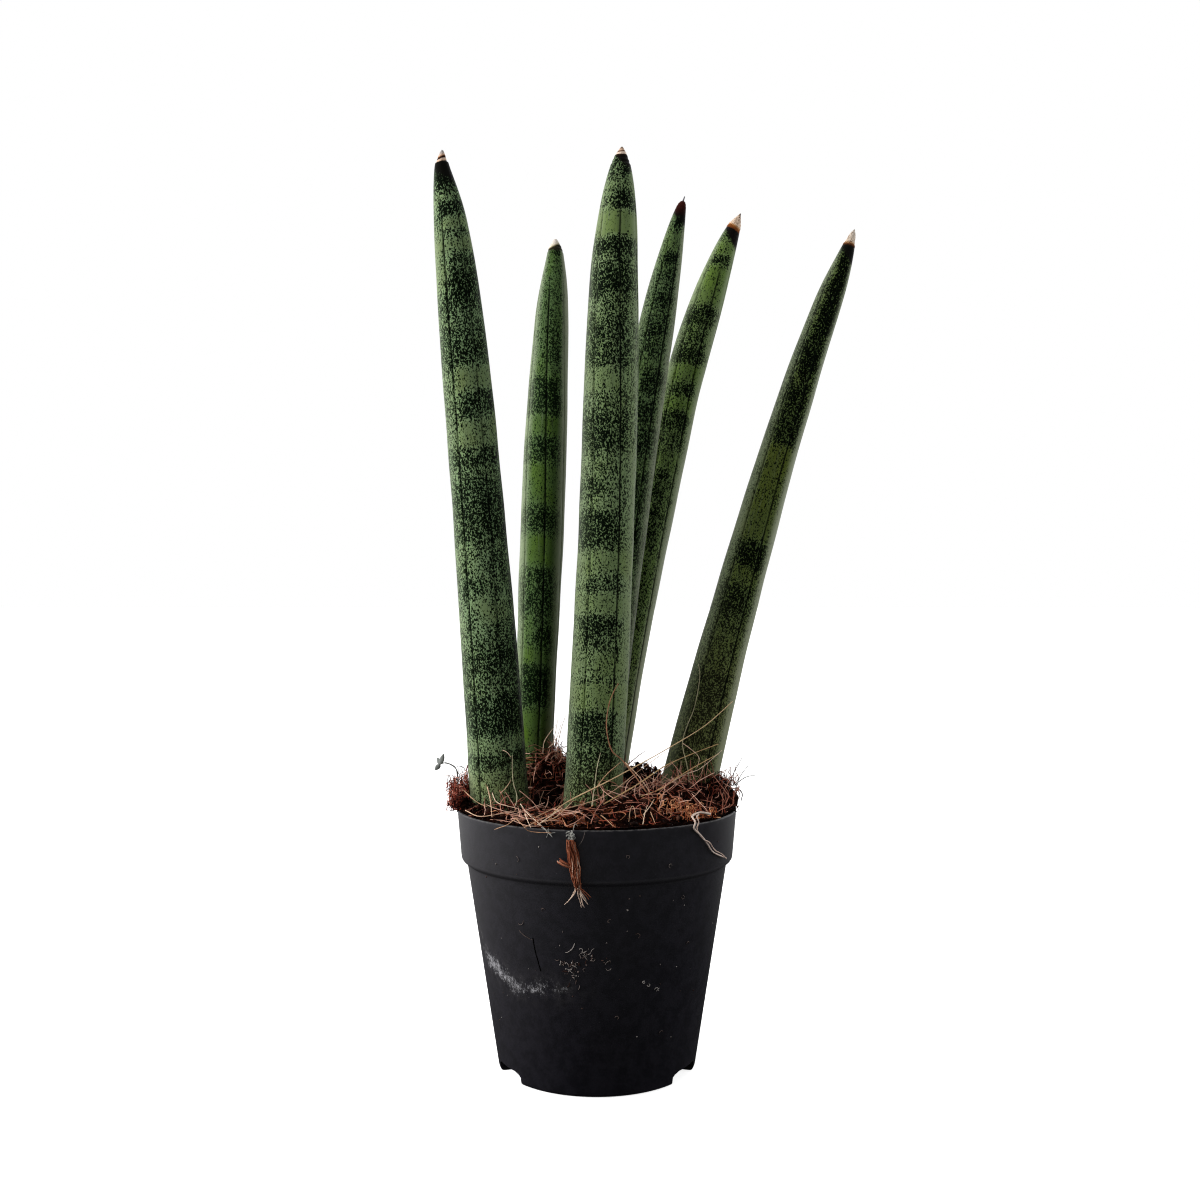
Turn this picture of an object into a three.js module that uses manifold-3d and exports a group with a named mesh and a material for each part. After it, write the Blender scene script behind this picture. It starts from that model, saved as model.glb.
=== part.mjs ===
// A cylindrical snake plant in a black nursery pot, in millimetres, +Z up.
// The origin is on the pot's axis, on the flat underside that the pot stands on. -Y is the front.
//
// A thin plastic pot holds dark potting mix, and a mat of coir fibre lies on the mix. Six round,
// grooved leaves stand in plain holes that go down through the mat into the mix. Loose pale roots
// stick out of the mat and lean on the leaves, a scrap of husk and one root hang over the rim, and
// a weed seedling stands at the left edge.
import * as THREE from "three";
import { mergeVertices } from "three/addons/utils/BufferGeometryUtils.js";
import Module from "manifold-3d";

const wasm = await Module();
wasm.setup();

// ---------------------------------------------------------------- driving dimensions

const GAP = 0.35; // between solids that touch

const POT = {
  sides: 48,
  height: 110,
  wall: 1.2,
  floor: 1.4,
  rimRadius: 60,
  collarFootRadius: 58.6, // the collar is the wider band under the rim
  collarFoot: 91.5,
  shoulderRadius: 55.8, // top of the body, where the collar steps out
  shoulder: 87.3,
  footRadius: 42.2,
  footBevel: 1,
};
const NOTCH = { count: 3, first: -150, width: 26, height: 5, depth: 5.2 }; // degrees, mm
const DRAIN_HOLE = { count: 6, radius: 3.4, circle: 24, sides: 10 };

const MIX_LEVEL = 104.5;
const MIX_SIDES = 40;
const MAT = {
  sides: 36,
  level: 112,
  thinnest: 1.6,
  radius: 57.5, // inside the rim
  overhang: { left: 5.6, right: 5 }, // where the coir bulges out over the rim
};
// Heaps and hollows in the coir: centre, height and width of each.
const HEAPS = [
  { at: [-57, 4], height: 13, width: 10 },
  { at: [-22, 36], height: 19, width: 14 },
  { at: [20, 42], height: 10, width: 17 },
  { at: [54, 6], height: 11, width: 12 },
  { at: [18, -20], height: 3, width: 18 },
  { at: [-21, -8], height: -8, width: 9 },
];
const FIBRES = { count: 60, upright: 10, radius: 0.55, steps: 3, sunk: 1.6, longest: 44, shortest: 18 };

const BURIED = 30; // length of leaf under the coir
const LEAF_RINGS = 11;
const HOLE_SIDES = 18;
const GROOVE_DEPTH = 0.8;
const GROOVE_HALF_WIDTH = 0.075; // share of the way to the next groove

// foot: where the axis meets the coir. tip: the end of the dry spike. bow: how far the middle of the
// leaf lies to the side of a straight line. Widths are diameters, at the foot and, if the leaf didn't
// close, at the tip. taper and blunt: how quickly the leaf closes, and how bluntly. lopsided: the share
// of the closing that comes off one side, so that the tip sits to the right (or left, if less than 0).
// groove: the angle of one groove at the foot, from the front, and twist the angle that it turns
// through towards the tip, most of it in the upper half.
const SOIL_LINE = 112;
const LEAVES = {
  leaf_left: {
    foot: [-42.3, 0],
    tip: [-66, -12, 388.6],
    bow: [1.5, 0],
    width: 26.2,
    shoulderWidth: 18.9,
    taper: 26.9,
    blunt: 5.3,
    lopsided: -0.18,
    spike: 4.7,
    grooves: 6,
    groove: -34,
    twist: 12,
  },
  leaf_back_left: {
    foot: [-30.2, 35],
    tip: [-20.1, 58, 370.3],
    bow: [-0.2, -1.5],
    width: 17.5,
    shoulderWidth: 24.9,
    taper: 46.8,
    blunt: 13.1,
    lopsided: 0,
    spike: 2.8,
    grooves: 6,
    groove: 25,
    twist: -55,
  },
  leaf_centre: {
    foot: [-2, -2],
    tip: [9.7, -14, 389.2],
    bow: [1.8, 0],
    width: 25.5,
    shoulderWidth: 22.2,
    taper: 24.9,
    blunt: 6,
    lopsided: 0.2,
    spike: 3,
    grooves: 6,
    groove: 34,
    twist: -29,
  },
  leaf_back_centre: {
    foot: [-0.7, 24],
    tip: [39.8, 38, 385],
    bow: [-2.8, 0],
    width: 19.4,
    shoulderWidth: 20.5,
    taper: 39.3,
    blunt: 3.8,
    lopsided: 0.37,
    spike: 4,
    grooves: 6,
    groove: 24,
    twist: 14,
  },
  leaf_back_right: {
    foot: [2.9, 44.5],
    tip: [68.8, 70, 386.3],
    bow: [-5.2, -1.5],
    width: 19,
    shoulderWidth: 20.2,
    taper: 34.7,
    blunt: 6.6,
    lopsided: 0.62,
    spike: 7,
    grooves: 8,
    groove: 30,
    twist: -90,
  },
  leaf_right: {
    foot: [39.2, 15],
    tip: [117, 33, 367.8],
    bow: [-4, 0],
    width: 24.8,
    shoulderWidth: 11.9,
    taper: 14.3,
    blunt: 1.8,
    lopsided: 0,
    spike: 7.5,
    grooves: 6,
    groove: 28,
    twist: -12,
  },
};

// Loose pale roots: the points that each runs through, from its end in the coir to its free end.
const ROOT_RADIUS = 0.5;
const ROOTS = {
  root_long: [[-19, -24, 109], [-13, -21, 115], [10, -22, 127], [30, -13, 138], [46, 0, 144.5], [58, 7, 152]],
  root_crossing: [[8, -14, 109], [24, -12, 122], [36, -1, 129], [53, 4, 136.5]],
  root_low: [[14, -24, 109], [20, -21, 117], [33, -6, 125], [54, 3, 131]],
  root_on_right_leaf: [[33, -3, 110], [34.5, -1, 124], [38, 1.5, 142], [44, 5, 158], [45, 7.5, 170]],
  root_on_centre_leaf: [[22, -21, 109], [13, -19, 122], [6, -16.6, 133], [5, -16.6, 146], [9, -14.5, 160]],
  root_short: [[-2, -19, 109], [-1.5, -18.5, 118], [0.5, -17.5, 131]],
  root_on_left_leaf: [[-33, -16, 109], [-35, -16, 120], [-35.6, -15.6, 134]],
};

const HUSK = { angle: -98.8, top: 107, bottom: 87, width: 4.6, thick: 1.5, sides: 6 };
const RIM_ROOT = { start: -44, end: -21, radius: 0.55 }; // angles round the collar, in degrees
const SEEDLING = {
  stem: [[-60.5, -1, 114], [-60.2, -1.5, 121], [-62, -2, 126.5], [-65.5, -2, 128.2], [-68.6, -2, 126.6]],
  radius: 0.45,
  leaflet: 4.6,
};

// ---------------------------------------------------------------- materials

const plain = (color, roughness) => new THREE.MeshStandardMaterial({ color, roughness, metalness: 0 });
const POT_PLASTIC = plain(0x1d1c20, 0.55);
const POTTING_MIX = plain(0x24160f, 0.95);
const COIR = plain(0x7a4028, 0.9);
const LEAF_SKIN = plain(0x4a6138, 0.5);
const DRY_ROOT = plain(0xa88465, 0.8);
const HUSK_BARK = plain(0x7b452f, 0.9);
const SEEDLING_GREEN = plain(0x6f7668, 0.7);

// ---------------------------------------------------------------- solids

const degrees = THREE.MathUtils.degToRad;
const point = ([x, y, z]) => new THREE.Vector3(x, y, z);

// The same draws each time, for whatever is placed by chance.
function drawsFrom(seed) {
  let state = seed;
  return (low = 0, high = 1) => {
    state = (state + 0x6d2b79f5) | 0;
    let t = Math.imul(state ^ (state >>> 15), 1 | state);
    t = (t + Math.imul(t ^ (t >>> 7), 61 | t)) ^ t;
    return low + (high - low) * (((t ^ (t >>> 14)) >>> 0) / 2 ** 32);
  };
}

// A closed three.js geometry as a solid that can be joined and cut.
function solid(geometry) {
  const bare = new THREE.BufferGeometry().setIndex(geometry.index);
  bare.setAttribute("position", geometry.getAttribute("position"));
  const merged = mergeVertices(bare, 1e-4);
  const corners = merged.index.array;
  const kept = [];
  for (let i = 0; i < corners.length; i += 3) {
    const [a, b, c] = corners.slice(i, i + 3);
    if (a !== b && b !== c && c !== a) kept.push(a, b, c);
  }
  return new wasm.Manifold(
    new wasm.Mesh({
      numProp: 3,
      vertProperties: merged.attributes.position.array,
      triVerts: new Uint32Array(kept),
    }),
  );
}

function geometryOf(body) {
  const { vertProperties, triVerts } = body.getMesh();
  const geometry = new THREE.BufferGeometry();
  geometry.setAttribute("position", new THREE.BufferAttribute(vertProperties, 3));
  geometry.setIndex(new THREE.BufferAttribute(triVerts, 1));
  geometry.computeVertexNormals();
  return geometry;
}

// The largest piece of a cut solid, without the scraps that the cut left loose.
function largestOf(body) {
  return body.decompose().reduce((best, next) => (next.volume() > best.volume() ? next : best));
}

// A closed skin over rings of points. Each ring has the same number of points, anticlockwise as seen
// from the last ring, and fans close the two ends.
function loft(rings) {
  const sides = rings[0].length;
  const positions = rings.flat().flatMap((p) => p.toArray());
  const corners = [];
  for (let ring = 0; ring < rings.length - 1; ring++) {
    for (let side = 0; side < sides; side++) {
      const a = ring * sides + side;
      const b = ring * sides + ((side + 1) % sides);
      corners.push(a, b, b + sides, a, b + sides, a + sides);
    }
  }
  const last = (rings.length - 1) * sides;
  for (let side = 1; side < sides - 1; side++) {
    corners.push(0, side + 1, side);
    corners.push(last, last + side, last + side + 1);
  }
  const geometry = new THREE.BufferGeometry();
  geometry.setAttribute("position", new THREE.Float32BufferAttribute(positions, 3));
  geometry.setIndex(corners);
  return geometry;
}

// A skin turned round the Z axis whose profile, a list of [radius, height] from the axis below to the
// axis above, can change with the angle.
function turned(sides, profileAt) {
  const rings = [];
  for (let side = 0; side < sides; side++) {
    const angle = (side / sides) * 2 * Math.PI;
    profileAt(angle).forEach(([radius, height], i) => {
      rings[i] ??= [];
      rings[i].push(new THREE.Vector3(radius * Math.cos(angle), radius * Math.sin(angle), height));
    });
  }
  return loft(rings);
}

// A thin round rod with few sides that follows a smooth curve through the given points.
function rod(points, radius, steps, sides = 3) {
  const section = new THREE.Shape();
  for (let side = 0; side < sides; side++) {
    const angle = (side / sides) * 2 * Math.PI;
    const [x, y] = [radius * Math.cos(angle), radius * Math.sin(angle)];
    if (side) section.lineTo(x, y);
    else section.moveTo(x, y);
  }
  section.closePath();
  const extrudePath = new THREE.CatmullRomCurve3(points);
  return new THREE.ExtrudeGeometry(section, { steps, extrudePath, bevelEnabled: false });
}

// ---------------------------------------------------------------- leaves

// The leaf's body without its closing, as a diameter, fromTip along the axis from the spike's point.
function bodyWidth(leaf, length, fromTip) {
  return THREE.MathUtils.lerp(leaf.shoulderWidth, leaf.width, Math.min(fromTip / length, 1));
}

// The share of the body's width that closing has taken off.
const closed = (leaf, fromTip) => Math.exp(-(fromTip + leaf.blunt) / leaf.taper);

function leafAxis(leaf) {
  const foot = new THREE.Vector3(leaf.foot[0], leaf.foot[1], SOIL_LINE);
  const tip = point(leaf.tip);
  tip.x -= (leaf.lopsided * leaf.shoulderWidth * closed(leaf, 0)) / 2;
  const control = foot.clone().add(tip).multiplyScalar(0.5);
  control.x += 2 * leaf.bow[0];
  control.y += 2 * leaf.bow[1];
  return new THREE.QuadraticBezierCurve3(foot, control, tip);
}

function leafRadius(leaf, length, fromTip) {
  return (bodyWidth(leaf, length, fromTip) / 2) * (1 - closed(leaf, fromTip));
}

// Stations along the axis, as distances from the tip: the buried end first, the spike's point last.
function leafStations(leaf, length) {
  const stations = [length + BURIED, length + BURIED - 4];
  for (let ring = LEAF_RINGS; ring >= 0; ring--) {
    stations.push(leaf.spike + (length - leaf.spike) * (ring / LEAF_RINGS) ** 1.7);
  }
  return stations;
}

// The middle of the leaf at a station, straight on into the soil below the foot.
function leafMiddle(leaf, axis, length, fromTip) {
  const along = 1 - fromTip / length;
  const tangent = axis.getTangentAt(Math.max(along, 0));
  const centre = axis.getPointAt(Math.max(along, 0));
  if (along < 0) centre.addScaledVector(tangent, along * length);
  centre.x += (leaf.lopsided * bodyWidth(leaf, length, fromTip) * closed(leaf, fromTip)) / 2;
  return { centre, tangent };
}

// One ring of a leaf. Angles count from the front, -Y, towards +X.
function leafRing({ centre, tangent }, angles, radii) {
  const side = new THREE.Vector3(1, 0, 0).addScaledVector(tangent, -tangent.x).normalize();
  const back = tangent.clone().cross(side);
  return angles.map((angle, i) =>
    centre
      .clone()
      .addScaledVector(side, radii[i] * Math.sin(angle))
      .addScaledVector(back, -radii[i] * Math.cos(angle)),
  );
}

function grooveAngles(leaf, share) {
  const spacing = 360 / leaf.grooves;
  const start = leaf.groove + leaf.twist * share ** 2;
  const steps = [0, GROOVE_HALF_WIDTH, 0.36, 0.64, 1 - GROOVE_HALF_WIDTH];
  const angles = [];
  for (let groove = 0; groove < leaf.grooves; groove++) {
    steps.forEach((step) => angles.push(degrees(start + (groove + step) * spacing)));
  }
  return { angles, isGroove: (i) => i % steps.length === 0 };
}

// A round leaf with shallow grooves down its length, rounded off at the buried end, and a dry spike.
function leafGeometry(leaf) {
  const axis = leafAxis(leaf);
  const length = axis.getLength();
  const rings = leafStations(leaf, length).map((fromTip, station) => {
    const { angles, isGroove } = grooveAngles(leaf, Math.max(1 - fromTip / length, 0));
    const endShare = station === 0 ? 0.7 : 1;
    const radius = leafRadius(leaf, length, fromTip) * endShare;
    const depth = Math.min(GROOVE_DEPTH, radius * 0.06);
    const radii = angles.map((_, i) => (isGroove(i) ? radius - depth : radius));
    return leafRing(leafMiddle(leaf, axis, length, fromTip), angles, radii);
  });
  const { angles } = grooveAngles(leaf, 1);
  const end = leafRadius(leaf, length, leaf.spike);
  for (const [fromTip, radius] of [[0.9, 0.8 * end], [0.8, 0.55 * end], [0.4, 0.34 * end], [0, 0.32]]) {
    const place = leafMiddle(leaf, axis, length, leaf.spike * fromTip);
    rings.push(leafRing(place, angles, angles.map(() => radius)));
  }
  return loft(rings);
}

// The plain hole that a leaf stands in: a gap wider than the leaf all round.
function leafHole(leaf) {
  const axis = leafAxis(leaf);
  const length = axis.getLength();
  const angles = [];
  for (let side = 0; side < HOLE_SIDES; side++) angles.push((side / HOLE_SIDES) * 2 * Math.PI);
  const rings = [-BURIED - GAP, 0, 30].map((above) => {
    const fromTip = length - above;
    const radius = (leafRadius(leaf, length, fromTip) + GAP) / Math.cos(Math.PI / HOLE_SIDES);
    return leafRing(leafMiddle(leaf, axis, length, fromTip), angles, angles.map(() => radius));
  });
  return solid(loft(rings));
}

// Moves a point sideways out of any leaf that it would lie in.
function clearOfLeaves(p, room) {
  for (const leaf of Object.values(LEAVES)) {
    const axis = leafAxis(leaf);
    const length = axis.getLength();
    const above = (p.z - SOIL_LINE) / (leaf.tip[2] - SOIL_LINE);
    const { centre } = leafMiddle(leaf, axis, length, length * (1 - above));
    const away = new THREE.Vector2(p.x - centre.x, p.y - centre.y);
    const least = leafRadius(leaf, length, length * (1 - above)) * 1.02 + room;
    if (away.length() < least) {
      away.setLength(least);
      p.set(centre.x + away.x, centre.y + away.y, p.z);
    }
  }
  return p;
}

// ---------------------------------------------------------------- pot

function wallRadius(height) {
  const { footRadius, shoulder, shoulderRadius } = POT;
  return THREE.MathUtils.lerp(footRadius, shoulderRadius, height / shoulder);
}

function potGeometry() {
  const { wall, floor, footRadius, footBevel, shoulder, shoulderRadius } = POT;
  const { collarFoot, collarFootRadius, height, rimRadius } = POT;
  const outside = [
    [0, 0],
    [footRadius - footBevel, 0],
    [wallRadius(footBevel), footBevel],
    [shoulderRadius, shoulder],
    [shoulderRadius + 1.2, shoulder + 0.8],
    [collarFootRadius - 0.5, collarFoot - 2],
    [collarFootRadius, collarFoot],
    [rimRadius, height - 0.4],
    [rimRadius - 0.3, height],
  ];
  const inside = [
    [rimRadius - wall, height],
    [collarFootRadius - wall, collarFoot],
    [collarFootRadius - wall - 0.6, collarFoot - 1.6],
    [shoulderRadius - wall, shoulder + 0.4],
    [wallRadius(floor) - wall, floor + 0.6],
    [wallRadius(floor) - wall - 0.8, floor],
    [0, floor],
  ];
  const profile = [...outside, ...inside].map(([r, z]) => new THREE.Vector2(r, z));
  const lathe = new THREE.LatheGeometry(profile, POT.sides);
  return lathe.rotateX(Math.PI / 2); // the lathe turns about Y
}

// The block that a drain notch takes out of the pot's foot, a given amount larger all round.
function notchCutter(index, larger) {
  const middle = degrees(NOTCH.first + (index * 360) / NOTCH.count);
  const half = degrees(NOTCH.width / 2) + larger / POT.footRadius;
  const inner = POT.footRadius - NOTCH.depth - larger;
  const outline = new THREE.Shape();
  outline.absarc(0, 0, POT.footRadius + 6, middle - half, middle + half, false);
  outline.absarc(0, 0, inner, middle + half, middle - half, true);
  const depth = NOTCH.height + larger + 1;
  const block = new THREE.ExtrudeGeometry(outline, { depth, bevelEnabled: false, curveSegments: 5 });
  return solid(block.translate(0, 0, -1));
}

function notches(body, larger) {
  let cut = body;
  for (let index = 0; index < NOTCH.count; index++) cut = cut.subtract(notchCutter(index, larger));
  return cut;
}

function pot() {
  let body = notches(solid(potGeometry()), 0);
  for (let hole = 0; hole < DRAIN_HOLE.count; hole++) {
    const angle = (hole / DRAIN_HOLE.count) * 2 * Math.PI;
    const { radius, circle, sides } = DRAIN_HOLE;
    const drill = new THREE.CylinderGeometry(radius, radius, 3 * POT.floor, sides);
    drill.rotateX(Math.PI / 2).translate(circle * Math.cos(angle), circle * Math.sin(angle), 0);
    body = body.subtract(solid(drill));
  }
  return body;
}

// ---------------------------------------------------------------- potting mix and coir

const MAT_UNDERSIDE = MIX_LEVEL + GAP;

function matTop(x, y) {
  let height = MAT.level + 1.5 * (1 - Math.hypot(x, y) / MAT.radius);
  for (const heap of HEAPS) {
    const away = Math.hypot(x - heap.at[0], y - heap.at[1]) / heap.width;
    height += heap.height * Math.exp(-away * away);
  }
  height += 1.5 * Math.sin(x / 3.1 + 2 * Math.sin(y / 9)) * Math.cos(y / 2.7);
  height += 0.8 * Math.sin(x / 5.3 - y / 4.1 + 1);
  return Math.max(height, MAT_UNDERSIDE + MAT.thinnest);
}

const onCircle = (radius, angle) => [radius * Math.cos(angle), radius * Math.sin(angle)];

function pottingMix(holes) {
  const { wall, floor, shoulder, shoulderRadius, collarFoot, collarFootRadius } = POT;
  const wallInside = [
    [wallRadius(floor) - wall - 1.4, floor + GAP],
    [wallRadius(floor + 4) - wall - GAP, floor + 4],
    [shoulderRadius - wall - GAP, shoulder],
    [collarFootRadius - wall - 1, collarFoot + 1],
  ];
  const profile = [[0, floor + GAP], ...wallInside, [MAT.radius - 0.2, MIX_LEVEL], [0, MIX_LEVEL]];
  const body = notches(solid(turned(MIX_SIDES, () => profile)), GAP);
  return largestOf(body.subtract(wasm.Manifold.union(holes)));
}

// How far the coir reaches out at an angle, above the rim: ragged, and furthest out left and right.
function matEdge(angle) {
  const { left, right } = MAT.overhang;
  const ragged = 0.7 * Math.sin(9 * angle + 1) + 0.5 * Math.sin(17 * angle);
  const bulge = (Math.cos(angle) > 0 ? right : left) * Math.exp(-3.5 * Math.sin(angle) ** 2);
  return MAT.radius + 1 + ragged + bulge;
}

function matGeometry() {
  const overRim = POT.height + GAP + 0.1;
  const shares = [0.92, 0.8, 0.64, 0.44, 0.22];
  const profileAt = (angle) => {
    const edge = matEdge(angle);
    const brow = Math.max(matTop(...onCircle(edge, angle)) - 1.2, overRim + 0.6);
    const top = shares.map((share) => {
      const radius = edge * share;
      return [radius, matTop(...onCircle(radius, angle))];
    });
    return [
      [0, MAT_UNDERSIDE],
      [MAT.radius, MAT_UNDERSIDE],
      [MAT.radius, overRim],
      [edge - 0.4, overRim + 0.3],
      [edge, (overRim + brow) / 2 + 0.2],
      [edge - 0.8, brow],
      ...top,
      [0, matTop(0, 0)],
    ];
  };
  return turned(MAT.sides, profileAt);
}

// One strand of coir that arches out of the mat and back into it, or stands up with a free end.
function fibrePath(draw, upright) {
  const [x, y] = onCircle(55 * Math.sqrt(draw()), draw(0, 2 * Math.PI));
  const heading = draw(0, 2 * Math.PI);
  const length = upright ? draw(10, 20) : draw(FIBRES.shortest, FIBRES.longest);
  const sideways = draw(-0.25, 0.25) * length;
  const arch = draw(1.2, 4.5);
  const points = [];
  for (let step = 0; step <= 4; step++) {
    const share = step / 4;
    const along = length * (upright ? share ** 2 * 0.6 : share);
    const aside = sideways * Math.sin(Math.PI * share);
    const px = x + along * Math.cos(heading) - aside * Math.sin(heading);
    const py = y + along * Math.sin(heading) + aside * Math.cos(heading);
    const lift = upright ? 12 * share : arch * Math.sin(Math.PI * share);
    const sunk = upright ? FIBRES.sunk * (1 - share) ** 2 : FIBRES.sunk * Math.abs(2 * share - 1) ** 3;
    points.push(new THREE.Vector3(px, py, matTop(px, py) + lift - sunk));
  }
  return points;
}

function coirFibres() {
  const draw = drawsFrom(7);
  const made = [];
  while (made.length < FIBRES.count) {
    const path = fibrePath(draw, made.length < FIBRES.upright);
    if (path.some((p) => Math.hypot(p.x, p.y) > matEdge(Math.atan2(p.y, p.x)) + 1)) continue;
    path.forEach((p) => clearOfLeaves(p, 1));
    made.push(solid(rod(path, FIBRES.radius * draw(0.85, 1.3), FIBRES.steps)));
  }
  return made;
}

// The ring round the pot's rim that coir and fibres keep out of.
function rimRoom() {
  const [inner, outer] = [POT.rimRadius - POT.wall - 0.9, POT.rimRadius + GAP];
  const top = POT.height + GAP;
  const corners = [[inner, 80], [outer, 80], [outer, top], [inner + 0.5, top], [inner, 80]];
  const profile = corners.map(([r, z]) => new THREE.Vector2(r, z));
  return solid(new THREE.LatheGeometry(profile, POT.sides).rotateX(Math.PI / 2));
}

function coirMat(holes) {
  const whole = wasm.Manifold.union([solid(matGeometry()), ...coirFibres()]);
  return largestOf(whole.subtract(wasm.Manifold.union([rimRoom(), ...holes])));
}

// ---------------------------------------------------------------- loose pieces

function rootPoints(points) {
  return points.map((p) => clearOfLeaves(point(p), ROOT_RADIUS + GAP));
}

// A root rod, a given amount thicker for the hole that it stands in.
function rootSolid(points, thicker = 0) {
  return solid(rod(rootPoints(points), ROOT_RADIUS + thicker, 9, 4));
}

const onCollar = (angle, outwards, height) => {
  const share = (height - POT.collarFoot) / (POT.height - POT.collarFoot);
  const radius = THREE.MathUtils.lerp(POT.collarFootRadius, POT.rimRadius, share) + outwards;
  return new THREE.Vector3(...onCircle(radius, degrees(angle)), height);
};

// A flattened pale root that comes out of the coir, turns over the rim and runs down the collar.
function rimRoot(thicker = 0) {
  const { start, end, radius } = RIM_ROOT;
  const out = radius + GAP + 0.15;
  const path = [
    new THREE.Vector3(...onCircle(50, degrees(start + 14)), 110),
    new THREE.Vector3(...onCircle(56, degrees(start + 5)), 113.6),
    onCollar(start - 4, out + 0.3, 112.2),
    onCollar(start - 2, out, 106),
    onCollar(start + 5, out, 100),
    onCollar(start + 13, out, 95.5),
    onCollar(end, out, 93),
  ];
  return solid(rod(path, radius + thicker, 16, 5));
}

// A scrap of coconut husk on a thread over the front of the rim, frayed at its lower end.
function husk(thicker = 0) {
  const { angle, top, bottom, width, thick } = HUSK;
  const out = thick / 2 + GAP + 0.25;
  const thread = [
    new THREE.Vector3(...onCircle(53, degrees(angle + 2)), 109.5),
    new THREE.Vector3(...onCircle(57.6, degrees(angle + 1)), 112.4),
    onCollar(angle, out, 111),
    onCollar(angle, out, top - 1),
  ];
  const parts = [solid(rod(thread, 0.55 + thicker, 8, 5))];
  const heights = [top, top - 5, 97, 92, bottom];
  const widths = [0.55, 0.8, 0.95, 1, 0.7];
  const turns = [0, 0.3, 0.8, 1.6, 2.2];
  const rings = heights.map((height, i) => {
    const lean = degrees(angle + turns[i]);
    const outwards = new THREE.Vector3(Math.cos(lean), Math.sin(lean), 0);
    const across = new THREE.Vector3(-outwards.y, outwards.x, 0);
    const centre = onCollar(angle + turns[i], out, height);
    if (height < POT.collarFoot) centre.copy(onCollar(angle + turns[i], out, POT.collarFoot)).setZ(height);
    const ring = [];
    for (let side = 0; side < HUSK.sides; side++) {
      const round = (side / HUSK.sides) * 2 * Math.PI;
      ring.push(
        centre
          .clone()
          .addScaledVector(across, (width / 2) * widths[i] * Math.cos(round))
          .addScaledVector(outwards, (thick / 2) * Math.sin(round)),
      );
    }
    return ring;
  });
  parts.push(solid(loft(rings)));
  const frays = [[-3.7, 80.5], [2.8, 79.6], [4.9, 84]];
  const lowest = onCollar(angle + 2, out, POT.collarFoot).setZ(bottom + 2);
  for (const [turn, end] of frays) {
    const tip = onCollar(angle + turn, out, POT.collarFoot).setZ(end);
    const middle = lowest.clone().lerp(tip, 0.5);
    parts.push(solid(rod([lowest, middle, tip], 0.42, 3)));
  }
  const chip = [[1, 95.2], [-1.6, 96.6], [-4.2, 99.6]];
  const chipPath = chip.map(([turn, height]) => onCollar(angle + turn, out, height));
  parts.push(solid(rod(chipPath, 0.75, 4, 5)));
  return largestOf(wasm.Manifold.union(parts));
}

// A weed seedling: a hooked stem with three narrow leaflets at its end.
function seedling(thicker = 0) {
  const stem = SEEDLING.stem.map(point);
  const parts = [solid(rod(stem, SEEDLING.radius + thicker, 10, 5))];
  const head = stem[stem.length - 2].clone().lerp(stem[stem.length - 1], 0.6);
  for (const [x, y, z] of [[-0.2, -0.3, 1], [-0.75, 0.4, 0.8], [0.55, 0.2, 0.9]]) {
    const tip = head.clone().addScaledVector(new THREE.Vector3(x, y, z).normalize(), SEEDLING.leaflet);
    parts.push(solid(rod([head, head.clone().lerp(tip, 0.5), tip], 0.55, 3, 4)));
  }
  return largestOf(wasm.Manifold.union(parts));
}

// ---------------------------------------------------------------- the plant in its pot

const plant = new THREE.Group();

function add(name, geometry, material) {
  const mesh = new THREE.Mesh(geometry, material);
  mesh.name = name;
  plant.add(mesh);
}

const leafHoles = Object.values(LEAVES).map(leafHole);
const looseHoles = [
  ...Object.values(ROOTS).map((points) => rootSolid(points, GAP)),
  rimRoot(GAP),
  husk(GAP),
  seedling(GAP),
];

add("pot", geometryOf(pot()), POT_PLASTIC);
add("potting_mix", geometryOf(pottingMix(leafHoles)), POTTING_MIX);
add("coir_mat", geometryOf(coirMat([...leafHoles, ...looseHoles])), COIR);
for (const [name, leaf] of Object.entries(LEAVES)) add(name, leafGeometry(leaf), LEAF_SKIN);
for (const [name, points] of Object.entries(ROOTS)) add(name, geometryOf(rootSolid(points)), DRY_ROOT);
add("rim_root", geometryOf(rimRoot()), DRY_ROOT);
add("husk_scrap", geometryOf(husk()), HUSK_BARK);
add("seedling", geometryOf(seedling()), SEEDLING_GREEN);

export default plant;
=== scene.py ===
"""The looks of a cylindrical snake plant in a black nursery pot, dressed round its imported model.

The sections follow the plant as it was potted: the pot, the leaves, the mix and the coir round
them, then what lies loose on the coir, hangs over the rim or has dried on the pot, and last the
floor, the light and the camera.
Sizes are in millimetres and turn into metres where a mesh is made. Angles count from +X, except
on a leaf, where 0 is the front, -Y, and angles grow towards +X.
"""

import math

import bpy
import numpy as np
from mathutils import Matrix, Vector, noise as lattice


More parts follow.
